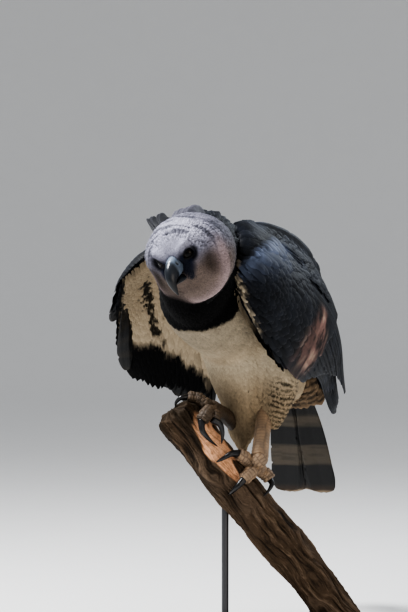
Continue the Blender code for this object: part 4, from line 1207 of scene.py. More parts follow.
    def place(self, tilt: Array, turn: Array) -> Array:
        """World places on the head at an angle from the bill's axis and a turn round it."""
        ways = ball_ways(tilt, turn)
        return HEAD.out(ways * SKULL.radius(ways)[..., None])


# Wings


@dataclass(frozen=True)
class Flight:
    """One tier of long wing feathers: count, first and last root and tip as (along, across), bow, width, heights."""

    name: str
    count: int
    root_a: tuple[float, float]
    root_b: tuple[float, float]
    tip_a: tuple[float, float]
    tip_b: tuple[float, float]
    bow: float
    width: float
    top: float
    bottom: float


@dataclass(frozen=True)
class Wing:
    """One wing: its middle sheet, the arm that it covers, and its feathers.

    Attributes:
        rows: place along, upper edge and lower edge (forward, left, up), and bulge.
        sign: which side of the sheet is the wing's upper one.
    """

    name: str
    rows: tuple[Numbers, ...]
    sign: float
    tiers: tuple[Flight, ...]
    seed: int
    outside: tuple = (
        (0.0, 0.005), (0.025, 0.011), (0.085, 0.016), (0.18, 0.0172), (0.28, 0.0168), (0.37, 0.0158),
        (0.47, 0.0140), (0.60, 0.0120), (1.0, 0.0100),
    )
    inside: tuple = (
        (0.0, 0.005), (0.025, 0.012), (0.085, 0.0165), (0.18, 0.0178), (0.28, 0.0170), (0.45, 0.0168),
        (0.60, 0.0165), (1.0, 0.0150),
    )

    @property
    def folded(self) -> bool:
        """Whether it is the left wing, which is drawn up beside the body."""
        return self.name == "left"

    def past_cape(self, along: Array, across: Array) -> Array:
        """How far a place lies below the line where the shoulder's cape meets the rounded wrist."""
        if not self.folded:
            return np.asarray(across) - 0.26 * (np.asarray(along) < 0.30)
        return np.asarray(across) - np.interp(along, (0.0, 0.08, 0.17, 0.28), (0.76, 0.40, 0.15, 0.0))

    def sheet(self, along: Array, across: Array) -> Array:
        """World points of the middle sheet: from the upper edge to the lower one, bulged by a sine."""
        along, across = np.broadcast_arrays(np.asarray(along, float), np.asarray(across, float))
        rows = hermite(self.rows, along)
        run = hermite(self.rows, np.minimum(along + 0.02, 1.0)) - hermite(self.rows, np.maximum(along - 0.02, 0.0))
        run = run[..., :3] + run[..., 3:6]
        top, bottom = rows[..., :3], rows[..., 3:6]
        outwards = unit(np.cross(run, bottom - top)) * self.sign
        bow = rows[..., 6:] * np.sin(np.pi * np.clip(across, 0, 1))[..., None]
        return BIRD.out(top + (bottom - top) * across[..., None] + outwards * bow)

    def gap(self, first: tuple[float, float], last: tuple[float, float]) -> float:
        """Distance between two (along, across) places of the sheet."""
        return float(np.linalg.norm(self.sheet(*first) - self.sheet(*last)))

    def slopes(self, along: Array, across: Array) -> tuple[Array, Array, Array]:
        """World change along and across the sheet per unit of place, and the upper side's normal."""
        step = 0.015
        ahead, behind = np.minimum(along + step, 1.0), np.maximum(along - step, 0.0)
        run = (self.sheet(ahead, across) - self.sheet(behind, across)) / (ahead - behind)[..., None]
        span = (self.sheet(along, across + step) - self.sheet(along, across - step)) / (2 * step)
        return run, span, unit(np.cross(run, span)) * self.sign

    def depth(self, along: Array, across: Array, upper: bool) -> Array:
        """How far the coat's surface lies from the sheet: a lens across it, thick over the arm."""
        table = np.array(self.outside if upper else self.inside)
        share = np.clip(across, 0, 1)
        lens = np.sqrt(np.clip(1 - (2 * share - 1) ** 2, 0, 1)) * 0.75 + 0.25
        wrist = smooth(self.past_cape(along, across), -0.05, 0.03) * (1 - smooth(along, 0.14, 0.26))
        raised = 0.0050 * wrist * (upper and self.folded)
        return np.interp(along, table[:, 0], table[:, 1]) * lens + raised

    def arm(self, shrink: float, steps: int = 14) -> tuple[Array, Array, Array]:
        """The covered arm as a closed lens for the skin."""
        places = np.array([0.0, 0.02, 0.05, 0.09, 0.14, 0.20, 0.26, 0.32, 0.38, 0.42, 0.45])
        rings = []
        for along in places:
            inset = 0.30 * math.exp(-along / 0.02)
            share = np.linspace(inset, 1 - inset, steps)
            spot = np.full(steps, along)
            sheet, normal = self.sheet(spot, share), self.slopes(spot, share)[2]
            fade = 1.0 if along < 0.3 else 1 - (along - 0.3) / 0.19
            upper = sheet + normal * np.maximum((self.depth(spot, share, True) - shrink) * fade, 0.0012)[:, None]
            lower = sheet - normal * np.maximum((self.depth(spot, share, False) - shrink) * fade, 0.0012)[:, None]
            rings.append(np.concatenate([upper, lower[::-1]]))
        return closed_tube(np.array(rings))

    def coverts(
        self, tract: Tract, upper: bool, first: float, last: float, grow: tuple[float, float], tint: object,
        cape: bool | None = None,
    ) -> Vanes:
        """Small feathers over one face of the arm, longer towards the wing's tip.

        Args:
            tract: their size and spacing at the front.
            upper: whether they lie on the upper face.
            first: place along the wing of the first row.
            last: place of the last row.
            grow: how many times longer, and further apart, the last row is.
            tint: gives colours for (along, across) places and world points.
            cape: True for feathers above the cape's line alone, False for those below it.

        Returns:
            The feathers.
        """
        rng = np.random.default_rng(tract.seed + self.seed)
        places, index, along = [], 0, first
        run_length = self.gap((0.0, 0.5), (1.0, 0.5))
        while along < last:
            share = (along - first) / (last - first)
            size = 1 + (grow[0] - 1) * share
            gap = tract.spacing * (1 + (grow[1] - 1) * share)
            span = self.gap((along, 0.0), (along, 1.0))
            count = max(int(span / gap) + 1, 4)
            across = (np.arange(count) + 0.5 * (index % 2) + rng.uniform(-0.2, 0.2, count)) / count
            spot = np.full(count, along) + rng.uniform(-0.25, 0.25, count) * gap / run_length
            places.append(np.stack([spot, np.clip(across, 0.0, 1.0), np.full(count, size)], axis=1))
            along += gap / run_length
            index += 1
        spot = np.concatenate(places)
        if cape is not None:
            below = self.past_cape(spot[:, 0], spot[:, 1])
            spot = spot[below < 0.0 if cape else below > -0.03]
        return self.lay(tract, spot[:, 0], spot[:, 1], spot[:, 2], upper, rng, tint)

    def over_scapulars(self, tract: Tract, tint: object) -> Vanes:
        """Rows of short feathers on top of the long scapulars, each row shifted by half a step."""
        rng = np.random.default_rng(tract.seed + self.seed)
        rows, step = np.arange(0.10, 0.45, 0.026)[:, None], 0.032
        across = np.arange(-0.10, 0.22, step) + 0.5 * step * (np.arange(len(rows))[:, None] % 2)
        a0 = (rows + 0.35 * np.maximum(across, 0) + rng.uniform(-0.006, 0.006, across.shape)).ravel()
        b0 = (across + rng.uniform(-0.006, 0.006, across.shape)).ravel()
        keep = b0 > np.interp(a0, (0.10, 0.22), (0.01, -0.09))
        return self.lay(tract, a0[keep], b0[keep], np.ones(keep.sum()), True, rng, tint, self.scapular_height)

    def scapular_height(self, a: Array, b: Array) -> Array:
        """The scapulars' height over the sheet: up from the arm by a square, and down again by a square."""
        share = np.clip((a - np.interp(b, (0.02, 0.13), (0.10, 0.24))) / 0.37, 0, 1)
        return 0.0245 - 0.0165 * (1 - share) ** 2 - 0.0105 * share**2 - 0.06 * np.maximum(-b, 0)

    def lay(
        self, tract: Tract, a0: Array, b0: Array, size: Array, upper: bool, rng: np.random.Generator, tint: object,
        height: object = None,
    ) -> Vanes:
        """Feathers on one face, each running back along the sheet from its root."""
        along = tract.grid()[0]
        count = len(a0)
        size = size * rng.uniform(0.88, 1.12, count)
        length, width = tract.length * size, tract.width * (1 + (size - 1) * 0.75)
        run, span, _ = self.slopes(np.clip(a0, 0.01, 0.99), b0)
        turn = rng.normal(0, 0.07, count)
        da = np.cos(turn) / np.linalg.norm(run, axis=-1)
        db = np.sin(turn) / np.linalg.norm(span, axis=-1)
        a = a0[:, None] + along * (length * da)[:, None]
        b = b0[:, None] + along * (length * db)[:, None]
        lift = -tract.sunk * (1 - along) ** 1.5 + (tract.raised * rng.uniform(0.3, 1.5, count))[:, None] * along
        sheet, normal = self.sheet(a, b), self.slopes(a, b)[2]
        side = 1.0 if upper else -1.0
        surface = self.depth(a, b, upper) if height is None else height(a, b)
        line = sheet + normal * (side * (surface + lift))[..., None]
        bake = np.stack([np.clip(b0, 0, 1), np.clip(a0, 0, 1)], axis=1)
        spots = np.stack([a, b], axis=-1)
        paint = lambda points: tint(np.broadcast_to(spots[:, :, None], (*points.shape[:-1], 2)), points)
        return tract.spread(line, normal * side, width, bake, rng, paint)

    def flight(self, tier: Flight) -> tuple[Vanes, Array]:
        """A tier of long closed vanes, each a little under the one before it, and their places (along, across)."""
        rng = np.random.default_rng(self.seed + len(tier.name))
        stations, columns = 34, 9
        share = np.linspace(0, 1, tier.count)[:, None]
        root = np.array(tier.root_a) + (np.array(tier.root_b) - tier.root_a) * share
        tip = np.array(tier.tip_a) + (np.array(tier.tip_b) - tier.tip_a) * share
        tip[:, :1] += tier.bow * np.sin(math.pi * share) + rng.uniform(-0.006, 0.006, share.shape)
        places = 1 - (1 - np.linspace(0, 1, stations)) ** 1.3
        a = root[:, :1] + (tip[:, :1] - root[:, :1]) * places
        b = root[:, 1:] + (tip[:, 1:] - root[:, 1:]) * places**0.85
        _, span, normal = self.slopes(a, b)
        height = tier.top + (tier.bottom - tier.top) * share - 0.011 * places**2 * (tier.name == SCAPULAR)
        sunk = (np.clip(height - 0.008, 0, None) + np.clip(height + 0.009, None, 0)) * (1 - places) ** 2
        lift = height - sunk + rng.uniform(-0.0002, 0.0002, share.shape)
        across = np.linspace(-1, 1, columns)
        reach = 0.5 * tier.width * rng.uniform(0.96, 1.04, share.shape) * hermite(LONG_VANE, places)[..., 0]
        split = split_edges(rng, tier.count, places, across, 3, (0.45, 0.97), 0.22, 0.012)
        offset = reach[..., None] * across * split
        wide = offset / np.linalg.norm(span, axis=-1)[..., None]
        points = self.sheet(a[..., None] + 0 * wide, b[..., None] + wide)
        ridge = 0.0005 * np.exp(-((across / 0.12) ** 2)) - 0.0006 * across**2
        points = points + normal[:, :, None] * (lift[..., None] + ridge)[..., None]
        length = np.linalg.norm(np.diff(points[:, :, columns // 2], axis=1), axis=-1).cumsum(1)
        distance = np.concatenate([np.zeros((tier.count, 1)), length], axis=1)
        vane = np.stack([offset, np.broadcast_to(distance[..., None], offset.shape)], axis=-1) * 100
        bake = np.stack([np.linspace(0.02, 0.98, tier.count), np.full(tier.count, 0.5)], axis=1)
        normals = np.broadcast_to(normal[:, :, None], points.shape)
        made = Vanes(points, points * 0, vane, bake, normals, points * 0, VANE_THICK)
        return made, np.stack(np.broadcast_arrays(a[..., None] + 0 * wide, b[..., None] + wide), axis=-1)


def bars(distance: Array, first: float, pitch: float, share: float, soft: float = 0.12) -> Array:
    """Cross bars: 1 in the dark share of each pitch past the first, with soft edges."""
    phase = (distance - first) / pitch % 1.0
    return smooth(phase, 0, soft) * (1 - smooth(phase, share, share + soft))


@dataclass(frozen=True)
class WingDress:
    """What a wing wears: its tracts and its colours."""

    wing: Wing
    lesser: Tract = Tract(
        0.0050, 0.0145, 0.0078, sunk=0.0024, raised=0.0009, camber=0.06, fringe=0.40, ragged=0.09, uneven=0.20,
        shape=FULL_VANE, columns=5, seed=41,
    )
    shoulder: Tract = Tract(
        0.0090, 0.036, 0.0170, sunk=-0.0004, raised=0.0022, camber=0.05, fringe=0.40, ragged=0.07, shape=FULL_VANE,
        columns=7, seed=49,
    )
    scapular: Tract = Tract(
        0.0090, 0.034, 0.0165, sunk=0.0010, raised=0.0016, camber=0.05, fringe=0.40, ragged=0.07, shape=FULL_VANE,
        columns=7, seed=54,
    )
    lining: Tract = Tract(0.0062, 0.022, 0.0090, sunk=0.0030, fringe=0.1, ragged=0.16, uneven=0.05, seed=42)

    def upper_tint(self, places: Array, points: Array) -> Array:
        """Upper side: slate with a blue sheen, painted light on its top edge and wrist with painted shadow above the
        wrist, a pale front edge with dark scallops, and a rusty patch with wear and painted sunlight.
        """
        a, b = places[..., 0], places[..., 1]
        sheen = 0.5 + 0.5 * lattice_noise(points * 60, 43)
        # Painted light: the slate is paler along the wing's top edge, towards the front.
        top = bell(b, 0.0, 0.22) * (1 - smooth(a, 0.35, 0.6))
        colour = mix(MARKS.slate, MARKS.slate_pale, 0.10 * sheen + 0.34 * top * sheen)
        if self.wing.folded:
            gap = self.wing.past_cape(a, b)
            early = 1 - smooth(a, 0.20, 0.30)
            # Painted highlight on the rounded wrist below the cape's line, and painted shadow just above that line.
            lit = bell(gap, 0.06, 0.07) * early + 0.40 * bell(gap, 0.18, 0.12) * early
            colour = mix(colour, np.array(MARKS.slate_pale) * 2.2, np.clip(lit, 0, 1) * (0.55 + 0.4 * sheen))
            colour = mix(colour, MARKS.black, bell(gap, -0.07, 0.08) * early * 0.96)
            near = a + 0.012 * lattice_noise(points * 120, 44)
            edge = (1 - smooth(near, 0.004, 0.014)) * smooth(b, 0.60, 0.70)
            edge = np.maximum(edge, smooth(b, 0.86, 0.92) * (1 - smooth(near, 0.050, 0.080)))
            edge = np.maximum(edge, smooth(b, 0.955, 0.975) * (1 - smooth(a, 0.16, 0.20)))
            spots = smooth(lattice_noise(points * 230, 45), 0.0, 0.3)
            colour = mix(colour, mix(np.array(MARKS.white) * 0.85, MARKS.slate, spots * 0.9), edge)
            colour = mix(colour, self.wear_and_light(a, b), self.patch(a, b))
        return colour

    def patch(self, a: Array, b: Array) -> Array:
        """Where the rusty patch with wear and painted sunlight lies: wider and stronger towards the wing's lower edge.
        """
        spread = 0.030 + 0.060 * smooth(b, 0.35, 0.80)
        within = smooth(b, 0.32, 0.42) * (1 - 0.8 * smooth(b, 0.84, 0.97))
        return smooth(bell(a, 0.475 - 0.04 * b, spread), 0.15, 0.75) * within

    def wear_and_light(self, a: Array, b: Array) -> Array:
        """Rusty pink vanes with wear, and pale strands of painted sunlight."""
        place = np.stack([(a + 0.05 * b) * 75, b * 9, 0 * a], -1)
        strand = lattice_noise(place, 46) + 0.5 * lattice_noise(place * (2.3, 2.0, 1), 52)
        colour = mix(np.array(MARKS.rust) * 0.8, np.array(MARKS.rust) * 0.10, smooth(strand, -0.1, 0.5))
        # Painted sunlight: pale strands where the light catches the vanes.
        return mix(colour, np.array(MARKS.white) * (0.9, 0.8, 0.8), smooth(-strand, 0.40, 0.90) * 0.6)

    def under_tint(self, places: Array, points: Array) -> Array:
        """Under side: a white lining with black blotches, ending in black secondaries."""
        a, b = places[..., 0], places[..., 1]
        edge = 0.865 - 0.165 * b + 0.03 * lattice_noise(points * 60, 47)
        dark = smooth(a, edge - 0.015, edge + 0.015)
        stripe = bell(b + 0.10 * (a - 0.3), 0.64, 0.085) * smooth(a, 0.20, 0.30)
        blotch = smooth(lattice_noise(points * (130, 130, 100), 48) + 1.35 * stripe - 0.95, -0.1, 0.15)
        rim = smooth(b, 0.945, 0.975) * (smooth(a, 0.14, 0.20) if self.wing.folded else 1.0)
        colour = mix(np.array(MARKS.white) * (0.92, 0.88, 0.84), MARKS.black, np.maximum(blotch * 0.95, rim))
        if self.wing.folded:
            dark = np.maximum(dark, 1 - smooth(b + 0.03 * lattice_noise(points * 60, 53), 0.24, 0.34))
        return mix(colour, MARKS.black, dark)

    def build(self) -> None:
        """Every feather of the wing."""
        wing, name = self.wing, self.wing.name
        small = wing.coverts(self.lesser, True, 0.004, 0.30, (3.6, 2.5), self.upper_tint, False)
        small.build(f"coat_coverts_{name}", PLUME)
        cape = wing.coverts(self.shoulder, True, -0.02, 0.24, (1.5, 1.4), self.upper_tint, True)
        cape.build(f"coat_shoulder_{name}", PLUME)
        wing.over_scapulars(self.scapular, self.upper_tint).build(f"coat_scapulars_{name}", PLUME)
        last = 0.34 if wing.folded else 0.84
        lining = wing.coverts(self.lining, False, 0.004, last, (2.6, 1.5), self.under_tint)
        lining.build(f"coat_lining_{name}", DOWN)
        flights = []
        for tier in wing.tiers:
            vanes, places = wing.flight(tier)
            self.colour(vanes, places)
            flights.append(vanes)
        join_vanes(flights).build(f"flight_{name}", PLUME)

    def colour(self, vanes: Vanes, places: Array) -> None:
        """Long feathers: slate above with darker bars and pale edges, barred grey and black below."""
        across, distance = vanes.vane[..., 0], vanes.vane[..., 1]
        columns = np.linspace(-1, 1, vanes.points.shape[2])
        rng = np.random.default_rng(self.wing.seed + 50)
        dark = bars(distance, 3.0, 4.6, 0.55)
        upper = self.upper_tint(places, vanes.points) * (1.15 - 0.45 * dark[..., None])
        own = rng.uniform(0.75, 1.3, (len(vanes.points), 1, 1, 1))
        streak = 1 + 0.15 * lattice_noise(np.stack([across * 6, distance * 0.8, 0 * across], -1), 51)
        edge = smooth(np.abs(columns), 0.86, 1.0)[None, None, :, None]
        vanes.tint = upper * own * streak[..., None] * (1 + edge)
        lower = mix(np.array(MARKS.bar_grey) * 0.40, MARKS.black, np.clip(0.62 + dark, 0, 1))
        vanes.under = lower * own


SECONDARY, PRIMARY, GREATER, SCAPULAR = "secondaries", "primaries", "greater", "scapulars"
WINGS = (
    Wing(
        "left",
        (
            (0.00, 0.176, 0.052, 0.046, 0.176, 0.072, -0.052, 0.010),
            (0.08, 0.150, 0.058, 0.066, 0.146, 0.082, -0.082, 0.016),
            (0.22, 0.078, 0.072, 0.084, 0.060, 0.096, -0.106, 0.024),
            (0.45, -0.045, 0.088, 0.096, -0.075, 0.096, -0.100, 0.026),
            (0.70, -0.188, 0.088, 0.074, -0.205, 0.080, -0.060, 0.018),
            (0.90, -0.318, 0.062, 0.034, -0.325, 0.056, -0.028, 0.008),
            (1.00, -0.405, 0.046, 0.004, -0.405, 0.044, -0.012, 0.002),
        ),
        -1.0,
        (
            Flight(SECONDARY, 14, (0.36, 0.08), (0.34, 0.82), (0.935, 0.24), (0.58, 0.90), 0.0, 0.040, 0.0078, -0.0045),
            Flight(PRIMARY, 9, (0.36, 0.64), (0.32, 0.90), (0.950, 0.28), (0.998, 0.60), 0.0, 0.033, -0.0068, -0.0150),
            Flight(GREATER, 12, (0.28, 0.08), (0.25, 0.92), (0.60, 0.20), (0.46, 0.94), 0.0, 0.036, 0.0170, 0.0105),
            Flight(SCAPULAR, 8, (0.10, 0.02), (0.24, 0.13), (0.47, -0.02), (0.60, 0.24), 0.0, 0.040, 0.0228, 0.0185),
        ),
        100,
    ),
    Wing(
        "right",
        (
            (0.00, 0.134, -0.058, 0.050, 0.137, -0.160, -0.030, 0.010),
            (0.25, 0.060, -0.080, 0.084, 0.030, -0.226, -0.016, 0.022),
            (0.50, -0.030, -0.098, 0.070, -0.060, -0.274, -0.006, 0.026),
            (0.75, -0.125, -0.112, -0.006, -0.148, -0.308, -0.006, 0.020),
            (1.00, -0.245, -0.126, -0.124, -0.252, -0.324, -0.022, 0.010),
        ),
        1.0,
        (
            Flight(
                SECONDARY, 13, (0.34, 0.08), (0.34, 0.78), (0.95, 0.08), (0.91, 0.80), 0.045, 0.042, 0.0078, -0.0045
            ),
            Flight(PRIMARY, 8, (0.30, 0.82), (0.24, 0.94), (0.80, 0.91), (0.872, 0.975), 0.0, 0.027, -0.0068, -0.0150),
            Flight(GREATER, 12, (0.26, 0.08), (0.23, 0.92), (0.60, 0.08), (0.52, 0.94), 0.0, 0.040, 0.0170, 0.0105),
            Flight(SCAPULAR, 7, (0.10, 0.02), (0.20, 0.12), (0.43, 0.02), (0.65, 0.16), 0.0, 0.040, 0.0228, 0.0185),
        ),
        200,
    ),
)


# Skin


@dataclass
class Skin:
    """One skin under the whole coat, made of every flesh form moved in by the coat's depth."""

    depth: float = 0.0065
    head_depth: float = 0.0022
    wing_depth: float = 0.0050
    voxel: float = 0.0036

    def forms(self) -> list[tuple[Array, Array, Array]]:
        """Each form as a closed surface."""
        forms = [
            closed_tube(TORSO.rings(np.linspace(0, 1, 40), 64, self.depth)),
            closed_tube(NECK.rings(np.linspace(0, 1, 24), 64, self.depth)),
        ]
        forms += [closed_tube(t.rings(np.linspace(0, 1, 24), 40, self.depth * 0.7)) for t in THIGHS.values()]
        turn = circle(96)
        ways = ball_ways(np.radians(np.linspace(4, 172, 60))[:, None], turn)
        forms.append(closed_tube(HEAD.out(ways * (SKULL.radius(ways) - self.head_depth)[..., None])))
        forms += [wing.arm(self.wing_depth) for wing in WINGS]
        forms.append(closed_tube(TAIL.stump()))
        return forms

    def build(self) -> bpy.types.Object:
        """The forms fused by a fine voxel remesh, smoothed, and tinted with the body's markings."""
        points, quads, triangles = join_tubes(self.forms())
        raw = make_piece("skin", points, quads, SKIN, triangles=triangles)
        remesh = raw.modifiers.new("fuse", "REMESH")
        remesh.mode = "VOXEL"
        remesh.voxel_size = self.voxel
        even = raw.modifiers.new("even", "SMOOTH")
        even.factor = 0.5
        even.iterations = 6
        graph = bpy.context.evaluated_depsgraph_get()
        mesh = bpy.data.meshes.new_from_object(raw.evaluated_get(graph))
        raw.modifiers.clear()
        raw.data = mesh
        mesh.name = "skin"
        places = np.zeros(len(mesh.vertices) * 3, np.float32)
        mesh.vertices.foreach_get("co", places)
        places = places.reshape(-1, 3).astype(float)
        tint = MARKS.body(places)
        on_wing = smooth(BODY.distance(places), 0.0, 0.006)
        set_tint(mesh, mix(tint, np.array(MARKS.slate) * 0.8, on_wing))
        mesh.shade_smooth()
        LOG.info("skin: %d faces", len(mesh.polygons))
        return raw

# Tail


@dataclass(frozen=True)
class Tail:
    """The tail: its stump, twelve long closed vanes in two halves, and coverts over and under."""

    root: Triple = (0.0746, 0.160, 0.4768)
    tip: Triple = (0.1200, 0.470, 0.2360)
    length: float = 0.395
    width: float = 0.054
    step: float = 0.0009
    count: int = 12
    over_heights: Numbers = (0.026, 0.030, 0.024, 0.016, 0.0115, 0.0105)
    under_heights: Numbers = (0.030, 0.033, 0.030, 0.024, 0.0150, 0.0125)
    cover: Tract = Tract(0.0100, 0.040, 0.0170, sunk=0.003, fringe=0.5, shape=FULL_VANE, columns=5, seed=61)

    def axes(self) -> tuple[Array, Array, Array]:
        """The tail's run, sideways and upper-side directions."""
        run = unit(np.array(self.tip) - self.root)
        side = unit(np.cross([0, 0, 1.0], run))
        return run, -side, np.cross(run, side)

    def stump(self) -> Array:
        """Rings of the rump's end."""
        run, side, _ = self.axes()
        length = np.array([-0.030, -0.012, 0.012, 0.036, 0.056])
        sizes = np.array([
            (0.020, 0.018, 0.018), (0.031, 0.025, 0.027), (0.034, 0.025, 0.028), (0.032, 0.018, 0.023),
            (0.026, 0.008, 0.012),
        ])
        centres = np.array(self.root) + run * length[:, None]
        return ellipse_rings(centres, np.broadcast_to(run, centres.shape), side, sizes, 40)

    def tint(self, distance: Array, upper: bool, spread: Array) -> Array:
        """Bars by distance from the tail's root, in shares of its length: grey, black, grey, black, pale tip."""
        place = np.stack([spread, distance, 0 * distance], -1)
        share = distance / self.length + 0.008 * lattice_noise(place * (9, 30, 1), 63)
        dark = smooth(share, 0.395, 0.415) * (1 - smooth(share, 0.560, 0.580))
        dark = np.maximum(dark, smooth(share, 0.735, 0.755) * (1 - smooth(share, 0.960, 0.978)))
        dark = np.maximum(dark, 0.9 * smooth(share, 0.225, 0.24) * (1 - smooth(share, 0.305, 0.32)))
        # Painted shade: the upper side is black near the root, under the coverts.
        if upper:
            dark = np.maximum(dark, 1 - smooth(share, 0.10, 0.16))
        pale = np.array(MARKS.bar_grey) * (0.75 if upper else 1.0)
        speck = smooth(lattice_noise(place * (30, 160, 1), 64), 0.35, 0.6)
        ground = mix(pale, pale * 0.45, speck * 0.6)
        colour = mix(ground, MARKS.black, dark)
        colour = mix(colour, np.array(MARKS.bar_grey) * (0.75, 0.55, 0.40), smooth(share, 0.90, 0.965) * 0.6)
        return mix(colour, np.array(MARKS.white) * (0.62, 0.55, 0.50), smooth(share, 0.972, 0.988))

    def build(self) -> None:
        """The long feathers, then the coverts."""
        rng = np.random.default_rng(62)
        run, side, upper = self.axes()
        stations, columns = 60, 13
        places = 1 - (1 - np.linspace(0, 1, stations)) ** 1.25
        across = np.linspace(-1, 1, columns)
        rank = np.arange(self.count)
        hand = np.where(rank % 2 == 0, 1.0, -1.0)[:, None]
        place = (rank // 2)[:, None]
        root, tip = hand * (0.004 + 0.0030 * place), hand * (0.013 + 0.0046 * place)
        end = self.length - 0.0008 * place + rng.uniform(-0.004, 0.004, (self.count, 1))
        along = 0.035 + (end - 0.035) * places
        aside = root + (tip - root) * places
        lift = 0.0037 - self.step * rank[:, None] + 0 * places
        blunt = ((0.0, 0.40), (0.30, 0.82), (0.70, 1.0), (0.91, 0.97), (0.955, 0.86), (0.985, 0.60), (1.0, 0.16))
        reach = 0.5 * self.width * hermite(blunt, places)[..., 0] * np.ones((self.count, 1))
        split = split_edges(rng, self.count, places, across, 4, (0.4, 0.98), 0.14, 0.007)
        offset = reach[..., None] * across * split
        sag = 0.0006 * np.exp(-((across / 0.10) ** 2)) - 0.0012 * across**2
        flare = 0.0006 * np.sin(np.pi * places)[None, :, None] * (hand * across)[:, None, :]
        points = (
            np.array(self.root)
            + along[..., None, None] * run
            + (aside[..., None] + offset)[..., None] * side
            + (lift[..., None] + sag + flare)[..., None] * upper
        )
        distance = np.broadcast_to(along[..., None], offset.shape)
        vane = np.stack([offset, distance], axis=-1) * 100
        spread = offset + 0.06 * rank[:, None, None]
        shade = rng.uniform(0.88, 1.12, (self.count, 1, 1, 1))
        above, below = (self.tint(distance, upwards, spread) * shade for upwards in (True, False))
        bake = np.stack([(rank + 0.5) / self.count, np.full(self.count, 0.9)], axis=1)
        normals = np.broadcast_to(upper, points.shape)
        Vanes(points, above, vane, bake, normals, below, VANE_THICK).build("flight_tail", PLUME)
        self.coverts(rng)

    def coverts(self, rng: np.random.Generator) -> None:
        """Rows of shorter feathers over and under the tail's root."""
        run, side, upper = self.axes()
        for over in (True, False):
            tract = self.cover
            sign = 1.0 if over else -1.0
            starts, offsets, sizes = [], [], []
            for row in range(6):
                wide = 0.036 + 0.001 * row
                count = 9 + row % 2
                offsets.append(np.linspace(-wide, wide, count) + rng.uniform(-0.002, 0.002, count))
                starts.append(np.full(count, -0.034 + 0.0105 * row) + rng.uniform(-0.003, 0.003, count))
                sizes.append(np.full(count, 0.95 + 0.10 * row))
            start, offset, size = map(np.concatenate, (starts, offsets, sizes))
            along = tract.grid()[0]
            reach = start[:, None] + along * (tract.length * 1.15 * size)[:, None]
            aside = offset[:, None] * (1 + 0.25 * along)
            lens = np.sqrt(np.clip(1 - (aside / 0.046) ** 2, 0.05, 1))
            heights = self.over_heights if over else self.under_heights
            tall = np.interp(reach, (-0.03, 0.0, 0.03, 0.06, 0.10, 0.17), heights)
            height = sign * (tall * (0.35 + 0.65 * lens) - 0.003 * (1 - along))
            line = (
                np.array(self.root)
                + reach[..., None] * run
                + aside[..., None] * side
                + height[..., None] * upper
            )
            normal = unit(upper * sign + side * (aside / 0.09)[..., None])
            bake = np.stack([(offset + 0.05) * 10, (start + 0.04) * 8], axis=1)
            paint = self.over_tint if over else self.under_tint
            vanes = tract.spread(line, normal, tract.width * size, np.clip(bake, 0, 1), rng, paint)
            vanes.build("coat_tail_over" if over else "coat_tail_under", PLUME if over else DOWN)

    def over_tint(self, points: Array) -> Array:
        """Slate with the blue sheen of the back."""
        return mix(MARKS.slate, MARKS.slate_pale, 0.3 * (0.5 + 0.5 * lattice_noise(points * 60, 64)))

    def under_tint(self, points: Array) -> Array:
        """Off-white darkened as painted shade, with broken grey bars."""
        along = (points - np.array(self.root)) @ self.axes()[0]
        bar = bars(along + 0.004 * lattice_noise(points * 90, 65), 0.0, 0.021, 0.42) * 0.85
        return mix(np.array(MARKS.white) * (0.42, 0.34, 0.28), MARKS.black, bar)


TAIL = Tail()


# Head


